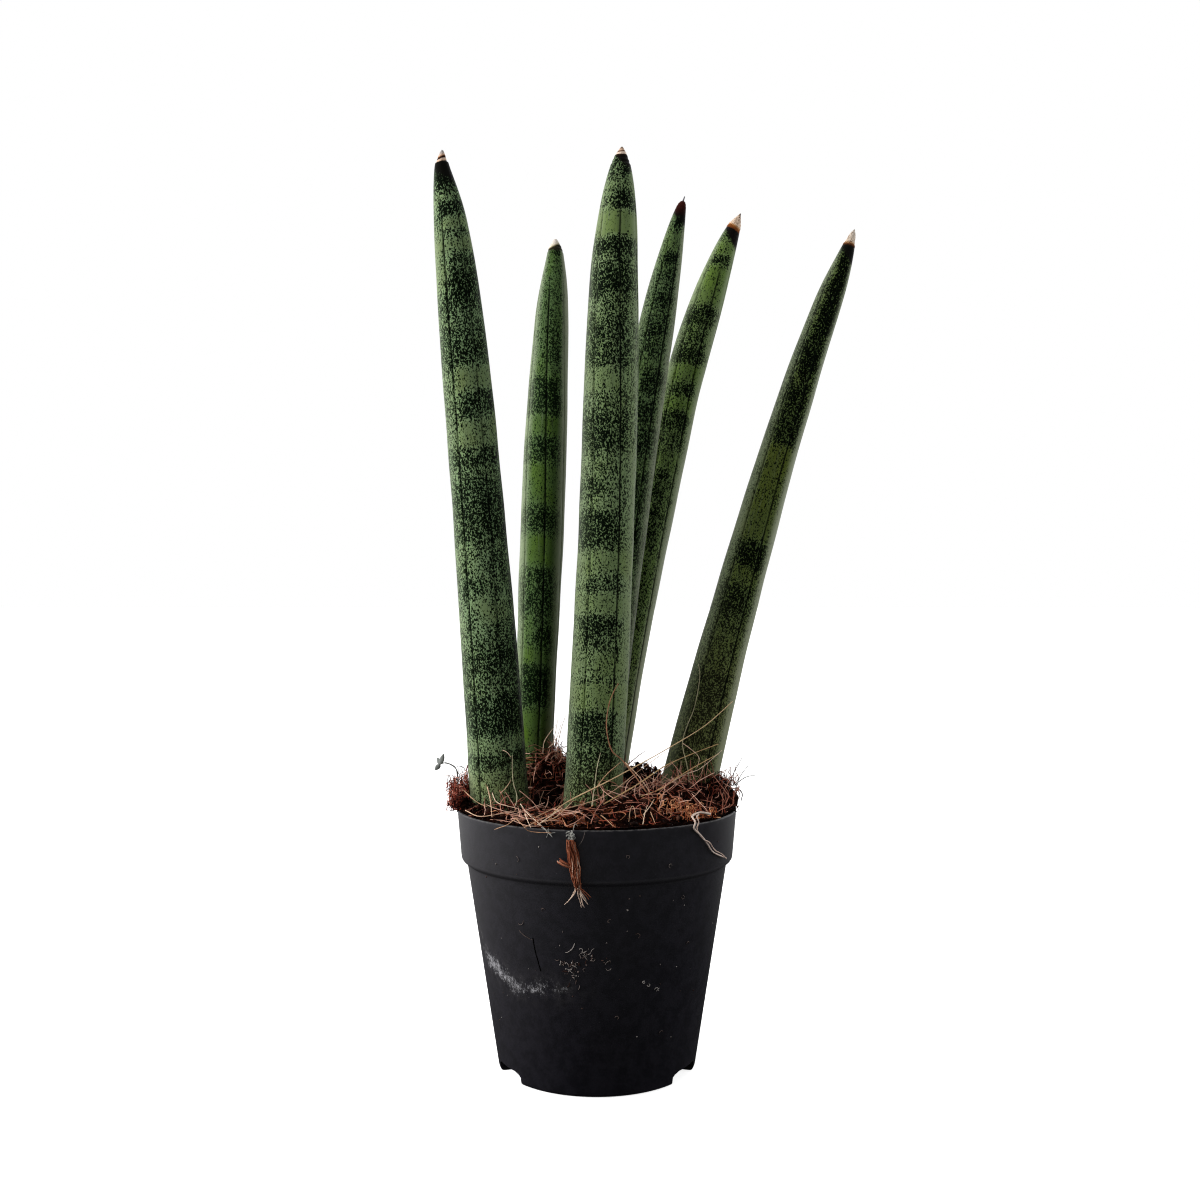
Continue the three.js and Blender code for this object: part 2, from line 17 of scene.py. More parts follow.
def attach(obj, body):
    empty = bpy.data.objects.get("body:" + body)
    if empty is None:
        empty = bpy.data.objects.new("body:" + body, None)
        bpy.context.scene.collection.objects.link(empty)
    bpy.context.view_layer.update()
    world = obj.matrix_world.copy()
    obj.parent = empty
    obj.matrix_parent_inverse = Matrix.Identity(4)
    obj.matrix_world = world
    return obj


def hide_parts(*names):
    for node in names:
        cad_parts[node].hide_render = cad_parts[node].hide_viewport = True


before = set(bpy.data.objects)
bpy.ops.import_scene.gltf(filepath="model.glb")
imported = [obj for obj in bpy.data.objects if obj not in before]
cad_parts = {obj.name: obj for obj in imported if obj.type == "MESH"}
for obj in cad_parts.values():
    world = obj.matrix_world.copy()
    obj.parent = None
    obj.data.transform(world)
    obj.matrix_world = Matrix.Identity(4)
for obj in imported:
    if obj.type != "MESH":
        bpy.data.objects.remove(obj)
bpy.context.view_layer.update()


# ------------------------------------------------------------------ nursery pot
# A thin pot of black plastic, blown in a mould. A wider collar under the rim stiffens it, and water
# runs out through three notches at its foot and six holes in its floor. It carries a smear of dried
# chalky water, dust, and crumbs of mix stuck to its front.

POT_TURNS = 288  # facets round the pot
POT_ROW = 1.6  # mm between rings up the wall
ARC_POINTS = 7  # round each corner of its section
WALL_FOOT, WALL_SHOULDER = (42.2, 0), (55.8, 87.3)  # radius and height
COLLAR_FOOT, RIM = (58.6, 91.5), (60, 110)
# The section from the middle of the underside, up the outside, over the rim and down the inside:
# radius, height, and the radius of the rounded corner there.
POT_SECTION = [
    (0, 0, 0),
    (*WALL_FOOT, 1.6),
    (*WALL_SHOULDER, 1.2),
    (58.2, 89.0, 2.2),
    (*RIM, 0.6),
    (58.7, 110, 0.5),
    (57.4, 91.5, 1.0),
    (54.6, 87.3, 1.0),
    (41.2, 1.5, 1.2),
    (0, 1.5, 0),
]
NOTCHES = [-150, -30, 90]  # the middle of each, in degrees
NOTCH_WIDTH, NOTCH_HEIGHT, NOTCH_DEPTH = 26, 5, 5.2  # degrees, mm, mm
DRAIN_HOLES, DRAIN_RADIUS, DRAIN_CIRCLE = 6, 3.4, 24
# Where the chalky water dried, as turn and height along the smear, and how strong it is there.
CHALK_SMEAR = [
    (-162, 62, 0.4), (-158, 54, 0.65), (-151, 49.5, 1), (-145, 48.3, 0.95), (-139, 46.2, 0.85),
    (-133, 43.2, 0.8), (-124.5, 42.7, 0.7), (-116, 45, 0.85), (-108, 44.8, 0.6), (-95, 43.5, 0.2),
]
CHALK_REACH = 5.4  # mm from the smear's middle line
INSIDE_RADIUS = 38  # mm, clear of the outside of the wall
PLASTIC, WORN_PLASTIC = (0.0098, 0.0094, 0.0146), (0.013, 0.0118, 0.016)
DARK_PLASTIC = (0.0036, 0.0034, 0.0056)
CHALK, DUST, POT_SHEEN = (0.4, 0.4, 0.43), (0.16, 0.15, 0.15), (0.17, 0.165, 0.175)
RIM_WEAR_AND_HIGHLIGHT, PAINTED_STEP_LIGHT = (0.1, 0.095, 0.095), (0.035, 0.034, 0.038)


class Wire:
    """A value or a colour on its way through a material. Arithmetic on it adds Math nodes."""

    def __init__(self, socket):
        self.socket = socket
        self.tree = socket.id_data

    def maths(self, operation, *values):
        return node(self.tree, "ShaderNodeMath", {"operation": operation}, dict(enumerate(values)))

    def __add__(self, other):
        return self.maths("ADD", self, other)

    def __sub__(self, other):
        return self.maths("SUBTRACT", self, other)

    def __rsub__(self, other):
        return self.maths("SUBTRACT", other, self)

    def __mul__(self, other):
        return self.maths("MULTIPLY", self, other)

    def __truediv__(self, other):
        return self.maths("DIVIDE", self, other)

    def __pow__(self, other):
        return self.maths("POWER", self, other)

    def __neg__(self):
        return self.maths("MULTIPLY", self, -1.0)

    __radd__, __rmul__ = __add__, __mul__

    def exp(self):
        return self.maths("EXPONENT", self)

    def rise(self, low, high):
        """Goes smoothly from 0 where the value is low to 1 where it is high."""
        sockets = {0: self, 1: low, 2: high, 3: 0.0, 4: 1.0}
        return node(self.tree, "ShaderNodeMapRange", {"interpolation_type": "SMOOTHSTEP"}, sockets)

    def times(self, x, y, z):
        """A vector, stretched along each axis."""
        sockets = {0: self, 1: (x, y, z)}
        return node(self.tree, "ShaderNodeVectorMath", {"operation": "MULTIPLY"}, sockets)

    def grain(self, scale, detail=1.0, roughness=0.5, distortion=0.0):
        """Noise at the place that this vector gives."""
        sockets = {"Vector": self, "Scale": scale, "Detail": detail, "Roughness": roughness,
                   "Distortion": distortion}
        return node(self.tree, "ShaderNodeTexNoise", {}, sockets)

    def part(self, axis):
        """One of a vector's three numbers: 0 across, 1 to the back, 2 up."""
        return node(self.tree, "ShaderNodeSeparateXYZ", {}, {0: self}, output=axis)

    def ramp(self, *stops):
        """A colour from a ramp of them. Each stop is a place and its colour."""
        return node(self.tree, "ShaderNodeValToRGB", {"stops": stops}, {"Fac": self})

    def blend(self, first, second):
        """A colour between two others: the second one where the value is 1."""
        sockets = {0: self, 6: first, 7: second}
        return node(self.tree, "ShaderNodeMix", {"data_type": "RGBA"}, sockets, output=2)

    def bump(self, distance, strength=1.0):
        """A normal that follows the value as a relief of that many metres."""
        sockets = {"Height": self, "Distance": distance, "Strength": strength}
        return node(self.tree, "ShaderNodeBump", {}, sockets)


def node(tree, kind, settings, sockets, output=0):
    """One node of a material. Its settings come first, then a value or a wire for each socket."""
    made = tree.nodes.new(kind)
    for name, value in settings.items():
        if name == "stops":
            elements = made.color_ramp.elements
            while len(elements) < len(value):
                elements.new(1.0)
            for element, (place, colour) in zip(elements, value):
                element.position, element.color = place, (*colour, 1.0)
        else:
            setattr(made, name, value)
    for name, value in sockets.items():
        if isinstance(value, Wire):
            tree.links.new(value.socket, made.inputs[name])
        elif made.inputs[name].type == "RGBA":
            made.inputs[name].default_value = (*value, 1.0)
        else:
            made.inputs[name].default_value = value
    return Wire(made.outputs[output]) if len(made.outputs) else None


def painted(tree, name, output=2):
    """A value that each vertex of the mesh carries: output 1 is a vector, 2 is a number."""
    return node(tree, "ShaderNodeAttribute", {"attribute_name": name}, {}, output)


def place_in_mm(tree):
    """Where a point of the piece is."""
    return node(tree, "ShaderNodeTexCoord", {}, {}, output=3).times(1000.0, 1000.0, 1000.0)


def new_finish(name):
    """An empty material and its tree of nodes."""
    material = bpy.data.materials.new(name)
    material.use_nodes = True
    material.node_tree.nodes.clear()
    return material, material.node_tree


def close_finish(tree, sockets):
    """The shader that the worked-out colours, roughness and relief go into."""
    shader = node(tree, "ShaderNodeBsdfPrincipled", {}, sockets)
    node(tree, "ShaderNodeOutputMaterial", {}, {"Surface": shader})


def add_object(name, points, faces):
    """A mesh object in the shared frame, from points in mm."""
    mesh = bpy.data.meshes.new(name)
    faces = [list(map(int, face)) for face in faces]
    mesh.from_pydata((np.asarray(points) * 0.001).tolist(), [], faces)
    added = bpy.data.objects.new(name, mesh)
    bpy.context.scene.collection.objects.link(added)
    return added


def make_piece(name, points, faces, finish, slot, replaced=(), carried=None):
    """A piece of the plant. carried holds the values that its vertices carry, by name."""
    piece = add_object(name, points, faces)
    mesh = piece.data
    mesh.shade_smooth()
    for key, values in (carried or {}).items():
        values = np.asarray(values, np.float32)
        kind, field = ("FLOAT", "value") if values.ndim == 1 else ("FLOAT_VECTOR", "vector")
        mesh.attributes.new(key, kind, "POINT").data.foreach_set(field, values.ravel())
    mesh.materials.append(finish)
    mesh.validate()
    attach(piece, "root")
    if replaced:
        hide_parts(*replaced)
    return piece


def grid_faces(rows, columns):
    """Quads between rings of points."""
    faces = []
    for row in range(rows - 1):
        for column in range(columns):
            a = row * columns + column
            b = row * columns + (column + 1) % columns
            faces.append((a, b, b + columns, a + columns))
    return faces


def ring_places(count):
    """Evenly spaced angles all round, in radians."""
    return np.arange(count) / count * 2 * math.pi


def rounded_section(corners, spacing):
    """A line of [radius, height] through the corners, with an arc at each and points in between."""
    line = [np.array(corners[0][:2], float)]
    for before, corner, after in zip(corners, corners[1:], corners[2:]):
        middle = np.array(corner[:2], float)
        back = np.array(before[:2], float) - middle
        on = np.array(after[:2], float) - middle
        back, on = back / np.linalg.norm(back), on / np.linalg.norm(on)
        half_turn = math.acos(np.clip(back @ on, -1, 1)) / 2
        run = corner[2] / math.tan(half_turn)
        for share in np.linspace(0, 1, ARC_POINTS):
            leg = (1 - share) ** 2 * back + share**2 * on
            line.append(middle + run * leg)
    line.append(np.array(corners[-1][:2], float))
    filled = [line[0]]
    for end in line[1:]:
        steps = max(1, round(np.linalg.norm(end - filled[-1]) / spacing))
        start = filled[-1]
        filled += [start + (end - start) * (step + 1) / steps for step in range(steps)]
    return np.array(filled)


def turned_solid(section, turns):
    """Points and faces of a section turned round Z. It starts and ends on the axis."""
    angles = ring_places(turns)
    inner = section[1:-1]
    ring = np.stack([np.cos(angles), np.sin(angles)], -1)
    points = np.concatenate(
        [inner[:, None, :1] * ring[None], np.repeat(inner[:, None, 1:], turns, 1)], -1
    ).reshape(-1, 3)
    poles = np.array([[0, 0, section[0][1]], [0, 0, section[-1][1]]])
    first, last = len(points), len(points) + 1
    faces = grid_faces(len(inner), turns)
    top = (len(inner) - 1) * turns
    for side in range(turns):
        beside = (side + 1) % turns
        faces += [(first, beside, side), (last, top + side, top + beside)]
    return np.vstack([points, poles]), faces


def cut_out(piece, points, faces):
    """Cuts a closed block out of a piece."""
    cutter = add_object("cutter", points, faces)
    modifier = piece.modifiers.new("cut", "BOOLEAN")
    modifier.object, modifier.operation, modifier.solver = cutter, "DIFFERENCE", "EXACT"
    evaluated = piece.evaluated_get(bpy.context.evaluated_depsgraph_get())
    applied = bpy.data.meshes.new_from_object(evaluated)
    piece.modifiers.clear()
    piece.data = applied
    bpy.data.objects.remove(cutter)


def notch_block(middle):
    """A block over a stretch of the pot's foot, with a rounded top."""
    n = 15  # points along it
    half = math.radians(NOTCH_WIDTH / 2)
    angles = math.radians(middle) + np.linspace(-half, half, n)
    lifts = 1 - np.abs(np.linspace(-1, 1, n)) ** 8 * 0.35
    points = []
    for radius in (WALL_FOOT[0] + 6, WALL_FOOT[0] - NOTCH_DEPTH):
        for heights in (np.full(n, -1.0), NOTCH_HEIGHT * lifts):
            points += list(zip(radius * np.cos(angles), radius * np.sin(angles), heights))
    faces = [(0, n, 3 * n, 2 * n), (n - 1, 3 * n - 1, 4 * n - 1, 2 * n - 1)]
    for side in range(n - 1):
        ring = [side, side + 1, side + n + 1, side + n]
        faces.append(ring)
        faces.append([corner + 2 * n for corner in ring[::-1]])
        faces.append((side, side + 2 * n, side + 2 * n + 1, side + 1))
        faces.append((n + side + 1, 3 * n + side + 1, 3 * n + side, n + side))
    return points, faces


def drill_block(angle):
    """A drum through the pot's floor, for a drain hole."""
    n = 24  # points round it
    turn = ring_places(n)
    x = DRAIN_CIRCLE * math.cos(angle) + DRAIN_RADIUS * np.cos(turn)
    y = DRAIN_CIRCLE * math.sin(angle) + DRAIN_RADIUS * np.sin(turn)
    points = [*zip(x, y, np.full(n, -2.0)), *zip(x, y, np.full(n, 4.0))]
    return points, [tuple(range(n))[::-1], tuple(range(n, 2 * n)), *grid_faces(2, n)]


def chalk_on(points):
    """How much of the chalky smear reaches each point of the pot, 0 to 1."""
    turn = np.degrees(np.arctan2(points[:, 1], points[:, 0]))
    radius = np.hypot(points[:, 0], points[:, 1])
    flat = np.stack([np.radians(turn) * radius, points[:, 2]], -1)
    most = np.zeros(len(points))
    for (t0, h0, s0), (t1, h1, s1) in zip(CHALK_SMEAR, CHALK_SMEAR[1:]):
        start = np.stack([math.radians(t0) * radius, np.full(len(points), h0)], -1)
        end = np.stack([math.radians(t1) * radius, np.full(len(points), h1)], -1)
        run = end - start
        share = np.clip(((flat - start) * run).sum(1) / (run**2).sum(1), 0, 1)
        away = np.linalg.norm(flat - start - run * share[:, None], axis=1)
        strength = s0 + (s1 - s0) * share
        most = np.maximum(most, strength * np.exp(-((away / CHALK_REACH) ** 2)))
    return most * (radius > INSIDE_RADIUS)


def pot_finish():
    """Black plastic, mottled and dusty and worn at the rim, smeared with chalk. Painted sheen makes it
    paler at the left, a painted highlight runs along the rim, and painted light thins the shade
    under the collar's step.
    """
    material, tree = new_finish("black_plastic")
    here = place_in_mm(tree)
    smear = painted(tree, "chalk")
    patches = here.grain(0.24, detail=3, roughness=0.6)
    grit = here.times(1, 1, 0.8).grain(1.0, detail=4, roughness=0.8, distortion=0.8) - 0.5
    chalk = (smear * (patches * 1.5 + 0.25) + grit * 2.6 - 0.68).rise(0.0, 0.45)
    chalk = chalk * smear.rise(0.05, 0.35)
    haze = smear * patches.rise(0.35, 0.7) * 0.22
    dust = here.grain(1.9, detail=2).rise(0.70, 0.80) * here.grain(0.07, detail=2).rise(0.45, 0.65)
    scuffs = here.times(0.5, 0.5, 0.04).grain(1.5, detail=3).rise(0.62, 0.78)
    cloud = here.grain(0.03, detail=3)
    smudges = here.grain(0.20, detail=5, roughness=0.75).rise(0.38, 0.62)
    colour = (smudges * 0.75).blend(cloud.blend(PLASTIC, WORN_PLASTIC), DARK_PLASTIC)
    colour = (dust * 0.30 + haze + scuffs * 0.02).blend(colour, DUST)
    height = here.part(2)
    # Painted sheen: the left side is painted paler, a little more so higher up, for the window's light
    # glancing off the plastic.
    pot_left_sheen = (-here.part(0)).rise(5.0, 62.0) * (height.rise(5.0, 60.0) * 0.04 + 0.055)
    colour = pot_left_sheen.blend(colour, POT_SHEEN)
    # The rim's top edge is painted paler in broken patches: partly scuffing, partly a painted
    # highlight.
    rim_wear_and_highlight = height.rise(109.4, 109.8) * here.grain(0.5, detail=3).rise(0.36, 0.60)
    colour = (rim_wear_and_highlight * 0.55).blend(colour, RIM_WEAR_AND_HIGHLIGHT)
    # Painted light: the underside of the collar's step is painted lighter, to thin the shade that falls
    # there.
    step = height.rise(86.6, 87.4) * (1 - height.rise(89.4, 90.4))
    colour = (step * 0.6).blend(colour, PAINTED_STEP_LIGHT)
    colour = (chalk * (patches * 0.9 + 0.25)).blend(colour, CHALK)
    relief = here.grain(2.6, detail=3, roughness=0.6) * 0.5 + cloud * 0.6 + chalk * 0.35
    close_finish(tree, {
        "Base Color": colour,
        "Roughness": 0.40 + cloud * 0.10 + chalk * 0.35 + dust * 0.2,
        "Normal": relief.bump(0.00025, 0.5),
    })
    return material


pot_points, pot_faces = turned_solid(rounded_section(POT_SECTION, POT_ROW), POT_TURNS)
nursery_pot = make_piece("nursery_pot", pot_points, pot_faces, pot_finish(), "pot_plastic", ["pot"],
                         {"chalk": chalk_on(pot_points)})
for middle in NOTCHES:
    cut_out(nursery_pot, *notch_block(middle))
for hole in range(DRAIN_HOLES):
    cut_out(nursery_pot, *drill_block(hole / DRAIN_HOLES * 2 * math.pi))
nursery_pot.data.shade_smooth()
nursery_pot.data.set_sharp_from_angle(angle=math.radians(38))


# ------------------------------------------------------------------ leaves
# Six round leaves, each grown in one piece: a stiff waxy skin with shallow grooves down its length,
# pale grey-green, with broken cross bands of dark green flecks. Each ends in a dry horny spike.

SOIL_LINE = 112  # height of the leaves' feet
BURIED = 14  # mm of each leaf that is made under the coir
LEAF_ROW = 1.25  # mm between rings of points up a leaf
AXIS_POINTS = 801
# The columns of points from a groove to the next, closer at the groove.
BETWEEN_GROOVES = [0, 0.012, 0.03, 0.055, 0.09, 0.14, 0.21, 0.29, 0.37, 0.45,
                   0.55, 0.63, 0.71, 0.79, 0.86, 0.91, 0.945, 0.97, 0.988]

# The pale greys of the painted sheen on the flanks. The left one also goes on in streaks, as wax.
WAX_AND_LEFT_SHEEN, RIGHT_SHEEN_GREY = (0.32, 0.37, 0.26), (0.30, 0.33, 0.23)
TAN, PAINTED_FOOT_SHADE, GROOVE_GREEN = (0.20, 0.20, 0.085), (0.018, 0.026, 0.008), (0.002, 0.005, 0.002)
HORN_STREAK = (0.12, 0.045, 0.020)
GROOVES = 6  # round each leaf
GROOVE_STEP = 360 / GROOVES

# foot, tip: where the middle line meets the coir, and its top. bow: how far it lies off straight
#     half way. width, shoulder: diameters at the foot and, if the leaf didn't close, at the tip.
# taper, blunt: how gently it closes there and how blunt it ends. lopsided: the share of the closing
#     that comes off its left side. groove, twist: the angle of one groove at the foot, and its turn
#     on the way up. lines: how dark each groove is, from that one on.
# spike, point: the dry end starts and stops so far below and above the tip. grain: how streaky it is.
# cone: the spike's outline, as shares of its length and of its widest radius.
# trims: at mm from the tip, how far the leaf lies to the right, and how much wider it is.
# bands, clear: the darker bands and the fresher gaps, as start and end from the tip and strength,
#     then their left and right ends, from -1 to 1, where they don't go all the way across.
# flecks: how many there are elsewhere. bare_right: how many fewer there are at the right, where a
#     painted sheen covers them. soft: how faint they are. flank_sheen: how strong the painted sheen,
#     a pale grey for light glancing off the flanks, is at the left, and at the right by the tip and by
#     the foot. foot_shading: how much painted shade darkens the foot at the right. tanned, foot_tan:
#     how far up the foot is tanned, and how much. pale, fresh, dark: the skin, the gaps and the flecks.
# burnt: where the dead end fades out at the left and the right. char: how ragged its edge is. slant:
#     how much higher the colours of the spike, horn, run at the right. horn goes by mm from its point.
LEAVES = {
    "leaf_left": dict(
        foot=(-42.3, 0), tip=(-66, -12, 388.6), bow=(1.5, 0), width=26.2, shoulder=18.9, taper=26.9,
        blunt=5.3, lopsided=-0.18,
        groove=-34, twist=12, lines=[1, 0.45, 0.6, 0.6, 0.6, 0.5], spike=4.7, point=0.9, grain=0.1,
        seed=1,
        cone=[(0, 0.17), (0.1, 0.25), (0.2, 0.33), (0.4, 0.5), (0.62, 0.62), (0.9, 0.78), (1, 0.97)],
        trims=[(-0.5, 0.5, 0), (2, 0, 0), (5, -0.5, -0.1), (10, -0.55, -0.15), (18, -0.3, 0),
               (28, 0.1, 0.15), (60, 0.15, 0), (100, 0.15, -0.15), (200, 0.2, -0.25)],
        bands=[(6, 13.5, 0.79), (9, 19.5, 0.44), (22.5, 29, 0.62, -0.45, 2), (27, 31, 0.44, -2, -0.35),
               (34, 38, 0.35, -0.35, 0.9), (44, 64, 0.4, -0.15, 2), (55, 68, 0.22), (64, 77, 0.13),
               (77, 92, 0.35), (102.5, 113.5, 0.44, -0.1, 2), (102.5, 113.5, 0.18, -2, -0.1),
               (126.5, 135, 0.35), (139, 165.5, 0.31), (165.5, 181, 0.09), (181, 188, 0.35, -2, 0.1),
               (200, 211.5, 0.11), (211.5, 221.5, 0.4), (223.5, 228, 0.26), (231, 248.5, 0.44),
               (255.5, 261.5, 0.35), (150, 275, 0.19, 0.3, 2)],
        clear=[(18.5, 22.5, 0.22), (29, 34, 0.44, -0.5, 2), (38, 44, 0.31), (32, 60, 0.22, -2, -0.5),
               (93, 102.5, 0.35, -0.4, 2), (114.5, 125.5, 0.31, -0.4, 2), (190, 200, 0.26, -0.2, 0.9),
               (248.5, 255.5, 0.22), (262.5, 273, 0.18)],
        flecks=0.53, bare_right=0.0, soft=0.0, flank_sheen=(0.36, 0.05, 0.0), foot_shading=0.4, tanned=26,
        foot_tan=0.3,
        pale=(0.203, 0.303, 0.154), fresh=(0.191, 0.253, 0.092), dark=(0.0005, 0.0021, 0.0006),
        burnt=(8, 15), char=5, slant=0.5,
        horn=[(0, (0.45, 0.45, 0.47)), (1.5, (0.52, 0.46, 0.43)), (2.3, (0.68, 0.5, 0.38)),
              (2.9, (0.4, 0.2, 0.11)), (3.2, (0.025, 0.01, 0.006)), (3.9, (0.03, 0.01, 0.006)),
              (4.2, (0.78, 0.6, 0.47)), (5.0, (0.62, 0.42, 0.3)), (5.4, (0.005, 0.005, 0.004))],
    ),
    "leaf_back_left": dict(
        foot=(-30.2, 35), tip=(-20.1, 58, 370.3), bow=(-0.2, -1.5), width=17.5, shoulder=24.9,
        taper=46.8, blunt=13.1, lopsided=0,
        groove=18, twist=-38, lines=[1, 0.4, 0.6, 0.6, 0.6, 0.4], spike=6.5, point=1.5, grain=0.1,
        seed=2,
        cone=[(0, 0.12), (0.03, 0.19), (0.14, 0.35), (0.32, 0.53), (0.49, 0.71), (0.68, 0.83), (1, 1)],
        trims=[(0, 0, 0), (6, 0.33, -0.28), (12, 0.4, -0.2), (20, 0.35, 0.1), (32, 0.2, 0.1),
               (50, -0.1, -0.35), (70, -0.1, -0.3), (100, -0.2, 0.1), (130, 0, 0)],
        bands=[(3.5, 7.5, 0.9, -0.1, 0.5), (25.5, 30.5, 0.36, -0.2, 0.7),
               (37.5, 41.5, 0.36, -0.1, 0.7), (43.5, 61.5, 0.36, 0.0, 0.65),
               (69.5, 87.5, 0.54, -2, 0.75), (97, 109, 0.45), (130.5, 142.5, 0.54), (158, 180, 0.38),
               (183, 197.5, 0.5, -0.1, 2), (202.5, 221.5, 0.59, -0.7, 2)],
        clear=[(87.5, 97, 0.27), (110, 128.5, 0.18), (143.5, 157, 0.36), (195.5, 202.5, 0.27),
               (223, 239, 0.36)],
        flecks=0.38, bare_right=0.35, soft=0.05, flank_sheen=(0.62, 1.1, 1.2), foot_shading=0.75, tanned=30,
        foot_tan=0.2,
        # Its ground is darker than the front leaves': partly its own deeper green, partly painted shade
        # for its place behind them.
        pale=(0.09, 0.154, 0.057), fresh=(0.084, 0.16, 0.014), dark=(0.0007, 0.0033, 0.0009),
        burnt=(4.2, 6.6), char=1.6, slant=1.5,
        horn=[(0, (0.78, 0.72, 0.68)), (2.0, (0.84, 0.76, 0.68)), (3.6, (0.74, 0.66, 0.54)),
              (4.2, (0.3, 0.26, 0.14)), (4.8, (0.022, 0.02, 0.01))],
    ),
    "leaf_centre": dict(
        foot=(-2, -2), tip=(9.7, -14, 389.2), bow=(1.8, 0), width=25.5, shoulder=22.2, taper=24.9,
        blunt=6, lopsided=0.2,
        groove=32, twist=-29, lines=[1, 0.4, 0.6, 0.6, 0.6, 0.4], spike=7.5, point=1.0, grain=0.1,
        seed=3,
        cone=[(0, 0.08), (0.04, 0.13), (0.15, 0.25), (0.31, 0.45), (0.42, 0.57), (0.58, 0.69),
              (0.88, 0.91), (1, 1)],
        trims=[(-1, 0.8, 0), (3, 0.7, -0.3), (8, 0.8, -0.2), (18, 0.75, -0.2), (28, 0.5, -0.3),
               (42, 0, -0.15), (70, -0.15, 0), (110, 0, 0)],
        bands=[(3, 12.5, 0.29, -2, 0.2), (4, 9.5, 0.66, 0.1, 2), (9.5, 13.5, 0.49, 0.1, 0.6),
               (18, 27, 0.53, -0.35, 2), (20, 26.5, 0.29, 0.1, 2), (37.5, 45.5, 0.53),
               (45.5, 49.5, 0.33, 0.0, 2), (49.5, 62.5, 0.49), (63.5, 72.5, 0.23, -0.3, 0.8),
               (72.5, 92, 0.34), (103, 106, 0.25), (109.5, 126.5, 0.33), (139, 146, 0.33, -2, -0.1),
               (153, 168.5, 0.49, -2, 0.45), (178.5, 187, 0.29, -0.6, 0.5),
               (196, 204.5, 0.49, -0.8, 0.6), (204.5, 211.5, 0.25, -0.7, 0.5),
               (221.5, 225, 0.25, -0.7, 0.4), (237, 250.5, 0.43, -0.8, 0.6), (252.5, 262.5, 0.29),
               (262.5, 273, 0.33, -2, 0.3)],
        clear=[(13.5, 18, 0.16), (27, 37, 0.61), (92, 103, 0.2, -2, 0.3), (168.5, 178.5, 0.25),
               (187, 196, 0.25), (211.5, 221.5, 0.16), (225, 237, 0.25)],
        flecks=0.52, bare_right=0.25, soft=0.0, flank_sheen=(0.32, 0.33, 0.33), foot_shading=0.45, tanned=26,
        foot_tan=0.3,
        pale=(0.183, 0.26, 0.124), fresh=(0.157, 0.23, 0.062), dark=(0.0005, 0.0021, 0.0007),
        burnt=(2.5, 9.5), char=1.5, slant=0.2,
        horn=[(0, (0.06, 0.06, 0.06)), (0.8, (0.3, 0.2, 0.14)), (1.3, (0.62, 0.44, 0.32)),
              (1.8, (0.6, 0.4, 0.28)), (2.1, (0.1, 0.04, 0.02)), (2.4, (0.1, 0.04, 0.02)),
              (2.7, (0.78, 0.62, 0.5)), (3.5, (0.78, 0.62, 0.5)), (3.8, (0.02, 0.01, 0.006)),
              (4.6, (0.006, 0.005, 0.004))],
    ),
    "leaf_back_centre": dict(
        foot=(-0.7, 24), tip=(39.8, 38, 385), bow=(-2.8, 0), width=19.4, shoulder=20.5, taper=39.3,
        blunt=4.6, lopsided=0.37,
        groove=24, twist=14, lines=[1, 0.4, 0.6, 0.6, 0.6, 0.5], spike=4.7, point=0.8, grain=0.1,
        seed=4,
        cone=[(0, 0.11), (0.3, 0.16), (0.43, 0.2), (0.47, 0.4), (0.5, 0.52), (0.65, 0.74),
              (0.85, 0.91), (1, 1)],
        trims=[(-0.8, 0.5, 0), (3, 0.2, 0.1), (8, 0.2, 0.1), (20, 0.3, -0.1), (40, 0.4, -0.1),
               (60, 0.1, 0.1)],
        bands=[(9, 17, 0.54, -0.3, 2), (27.5, 32.5, 0.63, -0.4, 0.6), (35.5, 40, 0.54, -0.35, 0.6),
               (46.5, 53.5, 0.59, -0.4, 0.6), (58.5, 67.5, 0.45, -0.5, 0.6),
               (70.5, 76.5, 0.41, -0.4, 0.5), (83.5, 93.5, 0.54, -0.3, 2), (98.5, 108, 0.5, -0.3, 0.6),
               (111, 123, 0.41), (131, 150.5, 0.27), (155.5, 175, 0.32), (185, 204.5, 0.32),
               (209.5, 229.5, 0.32)],
        clear=[(17, 27.5, 0.18)],
        flecks=0.5, bare_right=0.2, soft=0.0, flank_sheen=(0.32, 0.75, 0.78), foot_shading=0.5, tanned=60,
        foot_tan=0.3,
        # Its ground is darker than the front leaves': partly its own deeper green, partly painted shade
        # for its place behind them.
        pale=(0.105, 0.165, 0.071), fresh=(0.115, 0.191, 0.042), dark=(0.0006, 0.0021, 0.0008),
        burnt=(8, 14), char=3, slant=0.3,
        horn=[(0, (0.22, 0.22, 0.25)), (2.2, (0.2, 0.19, 0.21)), (2.6, (0.05, 0.01, 0.007)),
              (5.0, (0.035, 0.007, 0.005)), (7.5, (0.018, 0.004, 0.003)),
              (10.5, (0.004, 0.004, 0.003))],
    ),
    "leaf_back_right": dict(
        foot=(2.9, 44.5), tip=(68.8, 70, 386.3), bow=(-5.2, -1.5), width=19, shoulder=20.2, taper=34.7,
        blunt=6.6, lopsided=0.62,
        groove=52, twist=-50, lines=[1, 0.4, 0.6, 0.6, 0.6, 0.45], spike=7, point=1.4, grain=1.0,
        seed=5,
        cone=[(0, 0.08), (0.13, 0.17), (0.27, 0.36), (0.49, 0.62), (0.7, 0.86), (0.88, 0.98), (1, 1)],
        trims=[(-1.4, 0.5, 0), (4, 0.2, 0.1), (12, 0.3, 0.2), (25, 0.4, 0.1), (40, 0.5, 0.2),
               (60, 0.1, 0.1), (90, -0.2, -0.15), (130, 0.5, 0.1), (200, 0.5, 0)],
